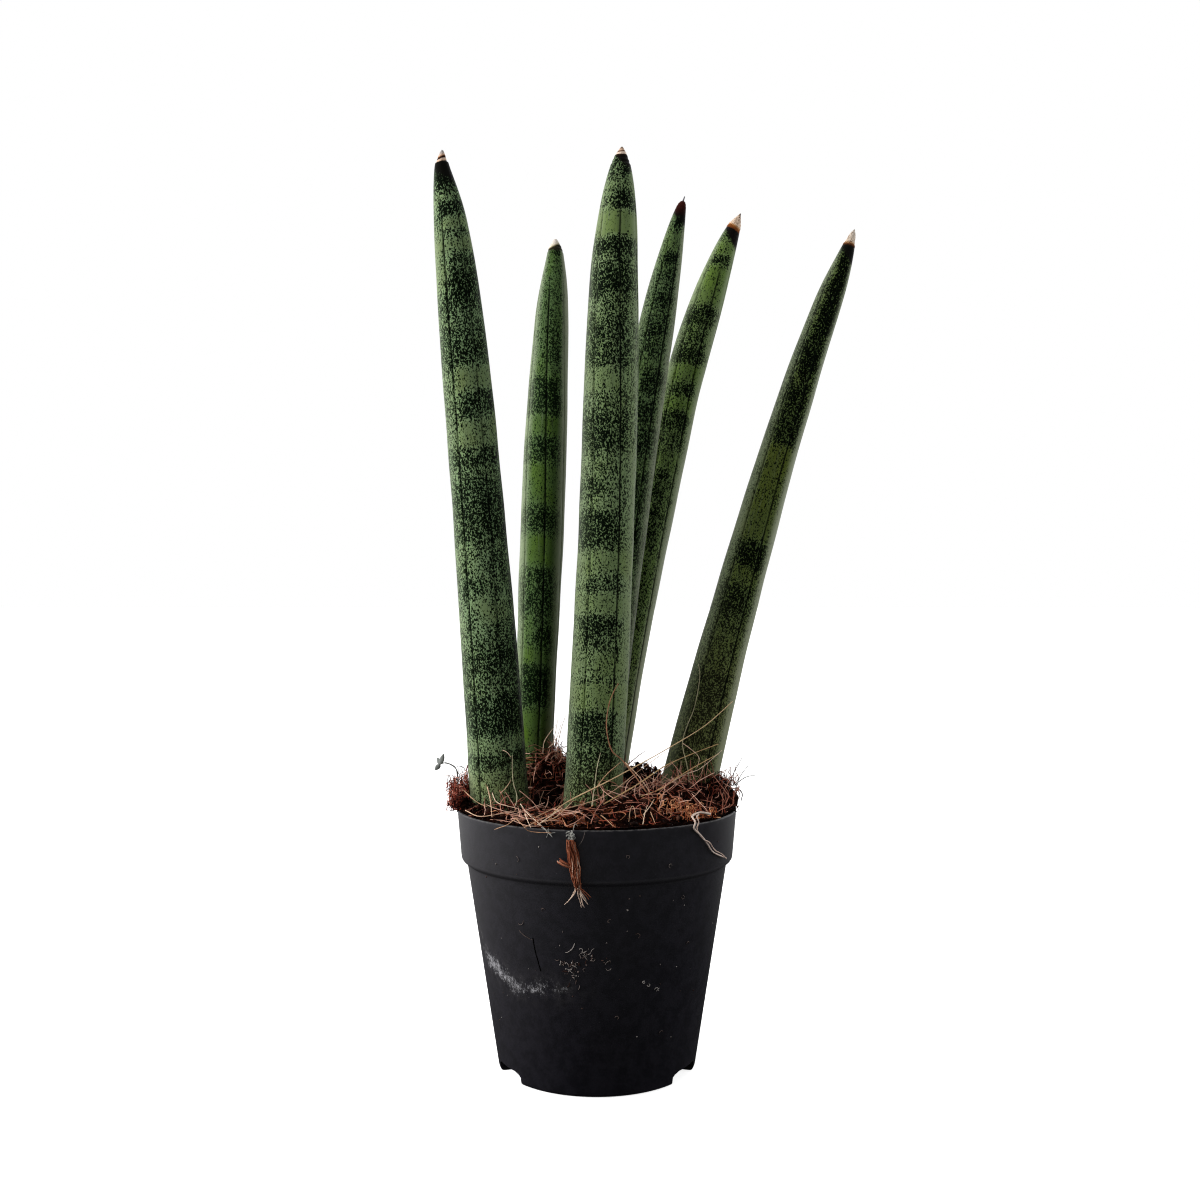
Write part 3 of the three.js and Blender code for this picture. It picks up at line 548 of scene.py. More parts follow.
        bands=[(8, 14, 0.81, -0.1, 2), (9, 13, 0.45, -2, -0.1), (22.5, 28, 0.68, -0.6, 0.75),
               (35.5, 43.5, 0.32, 0.1, 0.6), (49.5, 58.5, 0.59), (58.5, 69.5, 0.27, -2, 0.6),
               (71.5, 78.5, 0.72), (87.5, 94.5, 0.59, -0.5, 0.8), (102.5, 111, 0.5, -0.6, 0.8),
               (96.5, 239.5, 0.09), (114, 122, 0.27), (131, 146.5, 0.32, -2, 0.3),
               (150.5, 170.5, 0.32, -2, 0.3), (185, 200, 0.23, -2, 0.3)],
        clear=[(14, 22.5, 0.23), (28, 48.5, 0.32), (78.5, 87.5, 0.32), (94.5, 102.5, 0.23),
               (122, 131, 0.09)],
        flecks=0.42, bare_right=0.5, soft=0.0, flank_sheen=(0.54, 0.4, 1.25), foot_shading=0.3, tanned=110,
        foot_tan=0.25,
        pale=(0.164, 0.239, 0.091), fresh=(0.141, 0.242, 0.036), dark=(0.0007, 0.0024, 0.0005),
        burnt=(10, 17), char=3, slant=-1.0,
        horn=[(0, (0.1, 0.09, 0.08)), (1.2, (0.4, 0.27, 0.18)), (2.4, (0.8, 0.62, 0.48)),
              (7.0, (0.84, 0.64, 0.48)), (7.6, (0.6, 0.3, 0.12)), (8.2, (0.28, 0.09, 0.02)),
              (9.2, (0.16, 0.045, 0.012)), (9.8, (0.006, 0.005, 0.004))],
    ),
    "leaf_right": dict(
        foot=(39.2, 15), tip=(117, 33, 367.8), bow=(-4, 0), width=24.8, shoulder=11.9, taper=14.3,
        blunt=1.8, lopsided=0,
        groove=24, twist=-12, lines=[1, 0.4, 0.6, 0.6, 0.6, 0.5], spike=7.5, point=1.4, grain=1.0,
        seed=6,
        cone=[(0, 0.1), (0.11, 0.2), (0.23, 0.4), (0.42, 0.6), (0.61, 0.67), (0.77, 0.79),
              (0.87, 0.94), (1, 1)],
        trims=[(-1, 0.6, 0), (6, 0.7, 0), (15, 0.8, -0.3), (30, 0.5, 0), (50, -0.05, -0.1),
               (80, -0.1, 0.3), (110, -0.1, 0), (160, 0.3, 0.1)],
        bands=[(7.5, 15, 0.95, -0.25, 2), (7.5, 14, 0.57, -2, -0.25), (15, 51.5, 0.71, -0.25, 0.9),
               (45.5, 70, 0.33, -0.35, 0.6), (59.5, 69.5, 0.33, -0.6, 0.6),
               (70.5, 74, 0.38, -0.3, 0.4), (77.5, 85.5, 0.57, -0.6, 0.5), (86, 101, 0.33, -0.5, 0.8),
               (101, 105.5, 0.47, -0.5, 0.6), (120, 124, 0.19), (127.5, 134.5, 0.19),
               (152.5, 163, 0.52, -0.6, 0.7), (165, 209.5, 0.08, -2, 0.5), (174, 186, 0.26, -0.6, 0.2),
               (212.5, 225, 0.28, -2, 0.5), (225, 260.5, 0.16, -2, 0.6)],
        clear=[(106, 151.5, 0.33), (164, 173, 0.19), (187, 211, 0.09)],
        flecks=0.6, bare_right=0.45, soft=0.0, flank_sheen=(0.62, 0.86, 1.35), foot_shading=0.15, tanned=110,
        foot_tan=0.45,
        pale=(0.09, 0.129, 0.043), fresh=(0.101, 0.131, 0.018), dark=(0.0005, 0.0015, 0.0004),
        burnt=(9, 17), char=3, slant=0.2,
        horn=[(0, (0.58, 0.57, 0.55)), (1.0, (0.72, 0.64, 0.56)), (6.6, (0.8, 0.66, 0.52)),
              (7.6, (0.5, 0.28, 0.13)), (8.3, (0.14, 0.05, 0.02)), (9.0, (0.02, 0.01, 0.006)),
              (9.6, (0.005, 0.005, 0.004))],
    ),
}


def body_width(leaf, from_tip):
    """The leaf's diameter at distances from the tip, as if it didn't close there."""
    share = np.minimum(from_tip / leaf["length"], 1)
    return leaf["shoulder"] + (leaf["width"] - leaf["shoulder"]) * share


def closed_share(leaf, from_tip):
    """How much of that width the rounded end takes away."""
    return np.exp(-(from_tip + leaf["blunt"]) / leaf["taper"])


def trim(leaf, from_tip, column):
    """One of the leaf's trims at distances from the tip, smoothed."""
    trims = np.array(leaf["trims"])
    reach = np.clip(np.abs(from_tip) * 0.3, 0.2, 6)
    return sum(np.interp(from_tip + reach * step, trims[:, 0], trims[:, column])
               for step in (-1, -0.5, 0, 0.5, 1)) / 5


def leaf_radius(leaf, from_tip):
    """The leaf's radius at distances from the tip, without its grooves."""
    closed = body_width(leaf, from_tip) / 2 * (1 - closed_share(leaf, from_tip))
    return closed + trim(leaf, from_tip, 2)


def leaf_axis(leaf):
    """Points and directions along the leaf's middle line, with their distance from the foot."""
    foot = np.array([*leaf["foot"], SOIL_LINE], float)
    tip = np.array(leaf["tip"], float)
    tip[0] -= leaf["lopsided"] * leaf["shoulder"] * closed_share(leaf, 0) / 2
    control = (foot + tip) / 2 + np.array([2 * leaf["bow"][0], 2 * leaf["bow"][1], 0])
    share = np.linspace(0, 1, AXIS_POINTS)[:, None]
    points = (1 - share) ** 2 * foot + 2 * share * (1 - share) * control + share**2 * tip
    ways = (1 - share) * (control - foot) + share * (tip - control)
    ways /= np.linalg.norm(ways, axis=1)[:, None]
    runs = np.concatenate([[0], np.cumsum(np.linalg.norm(np.diff(points, axis=0), axis=1))])
    return points, ways, runs


def leaf_middle(leaf, from_tip):
    """The middle of the leaf and its direction, at distances from the tip."""
    points, ways, runs = leaf["axis"]
    from_tip = np.asarray(from_tip, float)
    along = leaf["length"] - from_tip
    held = np.clip(along, 0, leaf["length"])
    middle = np.stack([np.interp(held, runs, points[:, i]) for i in range(3)], -1)
    way = np.stack([np.interp(held, runs, ways[:, i]) for i in range(3)], -1)
    middle += way * (along - held)[:, None]
    middle[:, 0] += leaf["lopsided"] * body_width(leaf, from_tip) * closed_share(leaf, from_tip) / 2
    middle[:, 0] += trim(leaf, from_tip, 1)
    return middle, way


def spike_radius(leaf, from_tip):
    """The dry spike, from the leaf's end to its point."""
    end = leaf_radius(leaf, leaf["spike"])
    share = (from_tip + leaf["point"]) / (leaf["spike"] + leaf["point"])
    shares, radii = np.array(leaf["cone"]).T
    ridges = 1 + 0.025 * np.sin(share * 29) * (share > 0.3)
    return end * np.interp(share, shares, radii) * ridges * np.minimum(1, 0.35 + share * 14)


def stretch_of(leaf, key, s, side):
    """How strongly the leaf's bands, or its clear gaps, cover each place on it."""
    total = np.zeros(np.broadcast(s, side).shape)
    for start, end, strength, *reach in leaf[key]:
        left, right = reach or (-2, 2)
        along = 0.5 * (np.tanh((s - start) / 1.9) - np.tanh((s - end) / 1.9))
        across = 0.25 * (1 + np.tanh((side - left) / 0.12)) * (1 + np.tanh((right - side) / 0.12))
        total += strength * along * across
    return total


def flank(radians):
    """-1 at the left flank and 1 at the right one, faded out behind them."""
    return np.sin(radians) * np.clip((np.cos(radians) + 0.18) / 0.34, 0, 1)


def cover(leaf, from_tip, turn):
    """How dense the dark flecks are, and how fresh the green is, at distances from the tip and
    angles round the leaf. On its back the bands sway and shift from groove to groove."""
    draw = np.random.default_rng(leaf["seed"])
    sector = np.floor(((turn - leaf["groove"]) % 360) / GROOVE_STEP).astype(int) % GROOVES
    hidden = np.clip((np.abs((turn + 180) % 360 - 180) - 60) / 60, 0, 1)
    offsets = draw.uniform(-1.2, 1.2, GROOVES)
    phase = draw.uniform(0, 6.28, 3)
    radians = np.radians(turn)
    sway = 3.5 * np.sin(radians * 2 + phase[0]) + 3 * np.sin(from_tip / 31 + radians + phase[1])
    s = from_tip + offsets[sector] + hidden * sway
    fresh = stretch_of(leaf, "clear", s, np.sin(radians))
    dense = leaf["flecks"] + stretch_of(leaf, "bands", s, np.sin(radians)) - fresh
    # Painted sheen: fewer flecks at the right flank, where a painted pale sheen stands in for light
    # glancing off it.
    dense -= leaf["bare_right"] * np.clip((flank(radians) - 0.6) / 0.25, 0, 1)
    return dense, np.clip(fresh * 2.2, 0, 1)


def leaf_skin(leaf):
    """Points, faces and what the vertices carry, for one leaf from under the coir to its spike."""
    spike, length = leaf["spike"], leaf["length"]
    stations = np.concatenate([
        np.linspace(-leaf["point"], spike, 30)[:-1],
        np.linspace(spike, spike + 12, 25)[:-1],
        np.arange(spike + 12, length + BURIED, LEAF_ROW),
    ])
    middle, way = leaf_middle(leaf, stations)
    across = np.array([1.0, 0, 0]) - way * way[:, :1]
    across /= np.linalg.norm(across, axis=1)[:, None]
    back = np.cross(way, across)

    share = np.clip(1 - stations / length, 0, 1)
    steps = (np.arange(GROOVES)[:, None] + np.array(BETWEEN_GROOVES)[None]).ravel() * GROOVE_STEP
    turn = steps[None] + (leaf["groove"] + leaf["twist"] * share**2)[:, None]
    a = np.radians(turn)
    off = np.minimum(steps % GROOVE_STEP, GROOVE_STEP - steps % GROOVE_STEP)
    nearest = np.round(steps / GROOVE_STEP).astype(int) % GROOVES

    body = leaf_radius(leaf, np.maximum(stations, spike))
    radius = np.where(stations < spike, spike_radius(leaf, stations), body)
    groove_mm = np.radians(off)[None] * radius[:, None]
    depth = 0.20 * np.exp(-((groove_mm / 1.6) ** 2)) + 0.40 * np.exp(-((groove_mm / 0.32) ** 2))
    fading = np.clip((stations - spike - 3) / 25, 0, 1) * np.clip(radius / 8, 0, 1)
    phase = np.random.default_rng(leaf["seed"] + 20).uniform(0, 6.28, 6)
    up = stations[:, None]
    swell = 0.10 * np.sin(up / 17 + 2 * a + phase[0])
    swell += 0.10 * np.sin(up / 6.1 - a + phase[1]) * np.sin(up / 41 + phase[2])
    r = radius[:, None] - depth * fading[:, None] + swell * fading[:, None]
    points = (middle[:, None] + across[:, None] * (r * np.sin(a))[..., None]
              - back[:, None] * (r * np.cos(a))[..., None])

    straight = np.stack([radius[:, None] * np.sin(np.radians(steps))[None],
                         radius[:, None] * np.cos(np.radians(steps))[None],
                         np.repeat(up, len(steps), 1)], -1)
    dense, fresh = cover(leaf, up, turn)
    last = (len(stations) - 1) * len(steps)
    faces = grid_faces(len(stations), len(steps))
    faces += [tuple(range(len(steps)))[::-1], tuple(range(last, last + len(steps)))]
    carried = {
        "straight": straight.reshape(-1, 3) + leaf["seed"] * 53.0,
        "from_tip": np.repeat(stations, len(steps)),
        "groove": groove_mm.ravel(),
        "line": np.tile(np.array(leaf["lines"])[nearest], len(stations)),
        "dense": dense.ravel(),
        "fresh": fresh.ravel(),
        "rightward": np.sin(a).ravel(),
        "flank": flank(a).ravel(),
    }
    return points.reshape(-1, 3), faces, carried


def leaf_finish(name, leaf):
    """Waxy green skin: a streaky ground, the flecks over it, then its foot, its grooves and its end."""
    material, tree = new_finish(name + "_skin")
    here = painted(tree, "straight", output=1)
    from_tip, rightward = painted(tree, "from_tip"), painted(tree, "rightward")
    fresh, side = painted(tree, "fresh"), painted(tree, "flank")
    length, pale = leaf["length"], np.array(leaf["pale"])
    dusk = pale * (0.14, 0.24, 0.16)

    ragged = here.times(1, 1, 0.7).grain(0.34, detail=3, roughness=0.6) - 0.5
    drips = here.times(1, 1, 0.16).grain(0.75, detail=2) - 0.5
    drift = here.times(1, 1, 0.5).grain(0.07, detail=2) - 0.5
    spread = painted(tree, "dense") * 1.10 - 0.03 + ragged * 1.08 + drips * 0.6 + drift * 0.38
    worms = here.times(1.1, 1.1, 0.75).grain(1.6, detail=1.0, roughness=0.5, distortion=0.7)
    level = 0.50 + (0.50 - spread.maths("MINIMUM", spread * 0.74 + 0.03, 1.0)) * 0.27
    ink = (worms - level).rise(-0.020, 0.020)

    streaks = here.times(1, 1, 0.03).grain(1.1, detail=3, roughness=0.6)
    fine_streaks = here.times(1, 1, 0.06).grain(3.2, detail=2)
    mottle = here.times(1, 1, 0.6).grain(0.09, detail=2).rise(0.40, 0.62)
    skin = (mottle * 0.45 + fresh * 0.75).blend(pale, leaf["fresh"])
    skin = (streaks.rise(0.3, 0.7) * 0.35 + fine_streaks * 0.25).blend(skin, pale * 0.62)
    skin = (spread.rise(0.45, 1.15) * 0.74).blend(skin, dusk)
    # Painted sheen: the flanks are painted a pale grey where light glances off them, from the window at
    # the left and from the bright room behind at the right.
    left_sheen_amount, tip_sheen_amount, foot_sheen_amount = leaf["flank_sheen"]
    left_sheen = (-side).rise(0.45, 0.95) * left_sheen_amount
    right_sheen_amount = from_tip.rise(0.0, length) * (foot_sheen_amount - tip_sheen_amount) + tip_sheen_amount
    right_sheen = side.rise(0.50, 0.95) * right_sheen_amount
    skin = (left_sheen + streaks.rise(0.55, 0.8) * 0.22).blend(skin, WAX_AND_LEFT_SHEEN)
    skin = right_sheen.blend(skin, RIGHT_SHEEN_GREY)
    skin = ((-(from_tip / 9.0)).exp() * 0.7).blend(skin, dusk)
    gleam = (0.49 - worms).rise(0.0, 0.10) * spread.rise(0.15, 0.60)
    skin = (gleam * 0.26).blend(skin, pale * 2.0)
    # The flecks are painted fainter under the painted sheen, and on a soft leaf.
    faint = (left_sheen + right_sheen) * 0.6 + leaf["soft"]
    skin = (ink * (0.98 - faint)).blend(skin, leaf["dark"])

    tan = from_tip.rise(length - leaf["tanned"], length - 2.0) * leaf["foot_tan"]
    skin = (tan * (1 - ink * 0.8)).blend(skin, TAN)
    # Painted shade: the foot is painted darker at its right side, low down by the coir, away from the
    # window light.
    foot_shade = from_tip.rise(length - 45.0, length - 8.0) * rightward.rise(-0.3, 0.9) * leaf["foot_shading"]
    skin = (foot_shade * (1 - ink * 0.7)).blend(skin, PAINTED_FOOT_SHADE)
    gaps = here.times(1, 1, 0.15).grain(0.5, detail=2).rise(0.25, 0.5)
    line = (-((painted(tree, "groove") / 0.42) ** 2)).exp() * gaps
    line = line * from_tip.rise(leaf["spike"] + 12.0, leaf["spike"] + 26.0)
    skin = (line * painted(tree, "line")).blend(skin, GROOVE_GREEN)

    wander = here.grain(0.7, detail=2) - 0.5
    slanted = rightward * leaf["slant"]
    place = from_tip + leaf["point"] + wander * 0.6 + slanted
    left_end, right_end = leaf["burnt"]
    reach = rightward * ((right_end - left_end) / 2) + (right_end + left_end) / 2
    char = leaf["char"]
    alive = (from_tip + slanted - reach + wander * char).rise(-char / 2, char * 0.4)
    last, dry_to = leaf["horn"][-1][0], leaf["horn"][-2][0]
    horn = (place / last).ramp(*[(mm / last, colour) for mm, colour in leaf["horn"]])
    lengthwise = here.times(1, 1, 0.10).grain(2.6, detail=2).rise(0.50, 0.60)
    dry = 1 - place.rise(dry_to - 0.6, dry_to)
    horn = (lengthwise * dry * (leaf["grain"] * 0.8)).blend(horn, HORN_STREAK)
    skin = (1 - alive).blend(skin, horn)

    relief = fine_streaks * 0.25 + streaks * 0.35 + (1 - ink) * 0.22 + here.grain(2.2, detail=2) * 0.2
    close_finish(tree, {
        "Base Color": skin,
        "Roughness": 0.38 + streaks * 0.12 + dry * 0.3 + tan * 0.15 - ink * 0.03,
        "Normal": relief.bump(0.00022, 0.7),
        "Specular IOR Level": 0.03,
        "Sheen Weight": 0.10,
        "Sheen Roughness": 0.30,
    })
    return material


for name, leaf in LEAVES.items():
    leaf["axis"] = leaf_axis(leaf)
    leaf["length"] = leaf["axis"][2][-1]
    skin_points, skin_faces, skin_carried = leaf_skin(leaf)
    make_piece(name.replace("leaf", "blade"), skin_points, skin_faces, leaf_finish(name, leaf), "leaf",
               [name], skin_carried)


# ------------------------------------------------------------------ potting mix
# Dark peaty mix fills the pot to just under its rim and holds the leaves. The coir hides it.

mix_material, mix_tree = new_finish("peat")
mix_clods = place_in_mm(mix_tree).grain(0.6, detail=4, roughness=0.7)
close_finish(mix_tree, {
    "Base Color": mix_clods.ramp((0.35, (0.006, 0.004, 0.003)), (0.7, (0.045, 0.026, 0.017))),
    "Roughness": 0.95,
    "Normal": mix_clods.bump(0.0012),
})
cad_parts["potting_mix"].material_slots[0].material = mix_material


# ------------------------------------------------------------------ coir
# A mat of coir, the brown fibre of coconut husk, lies on the mix and laps over the rim. Its dark
# crumbly bed is heaped and hollowed, and springy fibres of several kinds stand out of it all over.

BED_RADIUS, BED_LEVEL, BED_FLOOR = 57.5, 110.2, 104.9
BED_TURNS, BED_RINGS = 240, 72
RIM_TOP = 110.4  # just clear of the rim
# Heaps and hollows: middle, height and width.
HEAPS = [((-57, 4), 10, 9), ((-22, 36), 18, 14), ((20, 42), 10, 17), ((54, 6), 9, 12),
         ((18, -20), 3, 18), ((34, -5), 8, 14), ((-22, -4), -9, 12)]


def bed_height(x, y):
    """The top of the coir's bed, without its crumbs."""
    reach = np.hypot(x, y)
    height = BED_LEVEL + 1.5 * (1 - reach / BED_RADIUS)
    for (hx, hy), lift, width in HEAPS:
        height = height + lift * np.exp(-((x - hx) ** 2 + (y - hy) ** 2) / width**2)
    height = height + 1.3 * np.sin(x / 3.1 + 2 * np.sin(y / 9)) * np.cos(y / 2.7)
    front = np.exp(-(((reach - 57) / 6) ** 2)) * np.exp(-(((x - 8) / 36) ** 2)) * (y < 0)
    return np.maximum(height - 3.4 * front, BED_FLOOR + 1.5)


def bed_edge(angle):
    """How far out the bed reaches: over the rim at the left and the right."""
    ragged = 0.7 * np.sin(9 * angle + 1) + 0.5 * np.sin(17 * angle)
    bulge = np.where(np.cos(angle) > 0, 3.0, 3.6) * np.exp(-4.5 * np.sin(angle) ** 2)
    return BED_RADIUS + 0.2 + ragged + bulge


def lumps(points, scale, shift):
    """Smooth noise at the points, about -1 to 1."""
    spots = (points * scale + shift).tolist()
    return np.array([lattice.noise(spot) for spot in spots])


def coir_bed():
    """A lumpy closed body: its top, its ragged edge above the rim, and a flat underside."""
    angles = ring_places(BED_TURNS)
    rows = []
    for share in np.linspace(0.02, 1, BED_RINGS):
        radius = bed_edge(angles) * share
        x, y = radius * np.cos(angles), radius * np.sin(angles)
        z = bed_height(x, y) - 3.0 * np.clip((share - 0.93) / 0.07, 0, 1) ** 2
        z = np.where(radius > BED_RADIUS, np.maximum(z, RIM_TOP + 0.6), z)
        rows.append(np.stack([x, y, z], -1))
    top = np.array(rows).reshape(-1, 3)
    rough = 2.2 * lumps(top, 0.20, 0) + 1.6 * lumps(top, 0.47, 40) + 0.7 * lumps(top, 1.2, 90)
    top[:, 2] += rough - 0.6
    outside = np.hypot(top[:, 0], top[:, 1]) > BED_RADIUS - 0.5
    top[outside, 2] = np.maximum(top[outside, 2], RIM_TOP + 0.4)
    brow = top[-BED_TURNS:]
    reach = np.maximum(np.hypot(brow[:, 0], brow[:, 1]) - 0.8, BED_RADIUS)
    under = []
    for radius, height in ((reach, RIM_TOP + 0.1), (BED_RADIUS, RIM_TOP), (BED_RADIUS, BED_FLOOR),
                           (2.0, BED_FLOOR)):
        ring = [radius * np.cos(angles), radius * np.sin(angles), np.full(BED_TURNS, height)]
        under.append(np.stack(ring, -1))
    rings = BED_RINGS + len(under)
    faces = [face[::-1] for face in grid_faces(rings, BED_TURNS)]
    faces += [tuple(range(BED_TURNS)), tuple(range((rings - 1) * BED_TURNS, rings * BED_TURNS))[::-1]]
    return np.vstack([top, *under]), faces


def bed_finish():
    """Damp dark crumbs of coir with reddish threads through them. Painted shade makes them nearly
    black in the hollows of their relief.
    """
    material, tree = new_finish("coir_bed")
    here = place_in_mm(tree)
    clods = here.grain(0.42, detail=4, roughness=0.7)
    threads = here.times(1, 0.3, 1).grain(2.0, detail=2, distortion=1.4)
    # Painted shade: the colour follows the same clods as the relief, and is nearly black where the
    # relief is low.
    colour = clods.ramp((0.38, (0.0016, 0.0005, 0.0004)), (0.52, (0.0060, 0.0016, 0.0010)),
                        (0.64, (0.022, 0.0060, 0.0034)), (0.76, (0.05, 0.016, 0.009)))
    colour = (threads.rise(0.58, 0.7) * 0.45).blend(colour, (0.10, 0.032, 0.018))
    close_finish(tree, {
        "Base Color": colour,
        "Roughness": 0.92,
        "Normal": (clods + threads * 0.6).bump(0.0013),
        "Specular IOR Level": 0.05,
    })
    return material


def fibre_finish(name, *stops, blotched=0.5):
    """A dry plant fibre: each has its own tone, and it is blotched along its length."""
    material, tree = new_finish(name)
    blotch = place_in_mm(tree).grain(0.6, detail=2) - 0.5
    colour = (painted(tree, "tone") + blotch * blotched).ramp(*stops)
    close_finish(tree, {"Base Color": colour, "Roughness": 0.7, "Specular IOR Level": 0.12})
    return material


def clear_of_leaves(points, room):
    """Moves points sideways out of the leaves."""
    flat = points.reshape(-1, 3).copy()
    for leaf in LEAVES.values():
        above = (flat[:, 2] - SOIL_LINE) / (leaf["tip"][2] - SOIL_LINE)
        from_tip = leaf["length"] * (1 - above)
        middle, _ = leaf_middle(leaf, from_tip)
        away = flat[:, :2] - middle[:, :2]
        gap = np.linalg.norm(away, axis=1) + 1e-6
        least = leaf_radius(leaf, np.maximum(from_tip, 1)) * 1.01 + room
        inside = gap < least
        flat[inside, :2] = middle[inside, :2] + away[inside] / gap[inside, None] * least[inside, None]
    return flat.reshape(points.shape)


def tubes(paths, radii, sides, tones):
    """Thin closed tubes: points, faces and a tone for each point. paths holds tubes x steps x 3."""
    count, steps, _ = paths.shape
    ways = np.gradient(paths, axis=1)
    ways /= np.maximum(np.linalg.norm(ways, axis=2, keepdims=True), 1e-9)
    mean = paths[:, -1] - paths[:, 0]
    mean /= np.maximum(np.linalg.norm(mean, axis=1, keepdims=True), 1e-9)
    upright = np.abs(mean[:, 2:]) > 0.8
    aid = np.where(upright, np.array([[1.0, 0, 0]]), np.array([[0, 0, 1.0]]))[:, None]
    first = np.cross(ways, aid)
    first /= np.maximum(np.linalg.norm(first, axis=2, keepdims=True), 1e-9)
    second = np.cross(ways, first)
    turn = ring_places(sides)
    ring = first[:, :, None] * np.cos(turn)[:, None] + second[:, :, None] * np.sin(turn)[:, None]
    points = paths[:, :, None] + ring * radii[:, :, None, None]
    per_tube = steps * sides
    one = np.array(grid_faces(steps, sides))
    starts = np.arange(count) * per_tube
    faces = (one[None] + starts[:, None, None]).reshape(-1, 4).tolist()
    for start in starts.tolist():
        faces.append(list(range(start + sides - 1, start - 1, -1)))
        faces.append(list(range(start + per_tube - sides, start + per_tube)))
    return points.reshape(-1, 3), faces, np.repeat(tones, per_tube)


def make_threads(name, paths, radii, tones, sides, finish, slot, replaced=()):
    """A piece of thin tubes, each with its path, its radii along it and its tone."""
    points, faces, tones = tubes(np.array(paths), np.array(radii), sides, np.array(tones))
    make_piece(name, points, faces, finish, slot, replaced, {"tone": tones})


def wandering(draw, starts, heading, pitch, lengths, steps, curl):
    """Paths that set off from points, and bend and curl on their way."""
    count = len(starts)
    bend, tilt = draw.normal(0, curl, count), draw.normal(0, curl * 0.6, count)
    paths = [starts]
    for _ in range(steps - 1):
        heading = heading + bend / steps * 3 + draw.normal(0, curl * 0.35, count)
        pitch = pitch + tilt / steps * 3 + draw.normal(0, curl * 0.25, count)
        level = np.cos(pitch)
        way = np.stack([level * np.cos(heading), level * np.sin(heading), np.sin(pitch)], -1)
        paths.append(paths[-1] + way * (lengths / (steps - 1))[:, None])
    return np.stack(paths, 1)


def settled(paths, beyond, above):
    """Paths lifted out of the bed and the rim, without those that reach too far out or stand off."""
    x, y, z = paths[..., 0], paths[..., 1], paths[..., 2]
    reach = np.hypot(x, y)
    bed = np.where(reach < BED_RADIUS - 1, bed_height(x, y), np.maximum(bed_height(x, y), RIM_TOP))
    low = np.where(reach < BED_RADIUS - 1, bed - 0.3, np.where(reach < 60.6, RIM_TOP + 0.3, RIM_TOP))
    near = (reach <= bed_edge(np.arctan2(y, x)) + beyond) & (z - bed <= above)
    kept = near.all(axis=1)
    lifted = paths.copy()
    lifted[..., 2] = np.maximum(z, low)
    return lifted[kept], kept


def over_bed(draw, count, spread=None):
    """Random places on the bed, fewer in the hollow between the leaves and at the front of the rim."""
    if spread is None:
        radius, angle = 58 * np.sqrt(draw.random(count)), draw.uniform(0, 2 * math.pi, count)
        x, y = radius * np.cos(angle), radius * np.sin(angle)
    else:
        (mx, my), (wx, wy) = spread
        x, y = draw.normal(mx, wx, count), draw.normal(my, wy, count)
    bare = np.exp(-(((x + 23) / 13) ** 2) - ((y - 5) / 19) ** 2)
    bare = np.maximum(bare, 0.75 * np.exp(-(((x - 17) / 18) ** 2) - ((y + 52) / 6) ** 2))
    kept = (draw.random(count) > bare) & (np.hypot(x, y) < 61)
    x, y = x[kept], y[kept]
    return np.stack([x, y, bed_height(x, y)], -1)


def make_fibres(name, finish, draw, groups, beyond, above, steps=8, sides=3):
    """A piece of many fibres. Each group gives its places, and ranges for what its fibres are like:
    pitch in degrees, length and radius in mm, curl, tone, lift over the bed, and their heading where
    they don't point all round. The deeper a fibre lies, the darker its tone, as painted shade.
    beyond, above: how far they may stand off the bed."""
    all_paths, all_radii, all_tones = [], [], []
    for places, pitch, length, radius, curl, tone, lift, *heading in groups:
        count = len(places)
        raised = draw.random(count)
        starts = places.copy()
        starts[:, 2] += lift[0] + (lift[1] - lift[0]) * raised
        headings = np.radians(draw.uniform(*(heading[0] if heading else (0, 360)), count))
        pitches = np.radians(draw.normal(*pitch, count))
        paths = wandering(draw, starts, headings, pitches, draw.uniform(*length, count), steps, curl)
        paths, kept = settled(paths, beyond, above)
        all_paths.append(clear_of_leaves(paths, 0.3))
        thick = draw.uniform(*radius, len(paths))[:, None]
        all_radii.append(thick * (1 - 0.5 * np.abs(np.linspace(-0.7, 1, steps)) ** 2)[None])
        # Painted shade: the lower a fibre starts, the darker its tone.
        shares = 0.65 * raised[kept] + 0.35 * draw.random(len(paths))
        all_tones.append(tone[0] + (tone[1] - tone[0]) * shares)
    make_threads(name, *map(np.concatenate, (all_paths, all_radii, all_tones)), sides, finish, "coir")


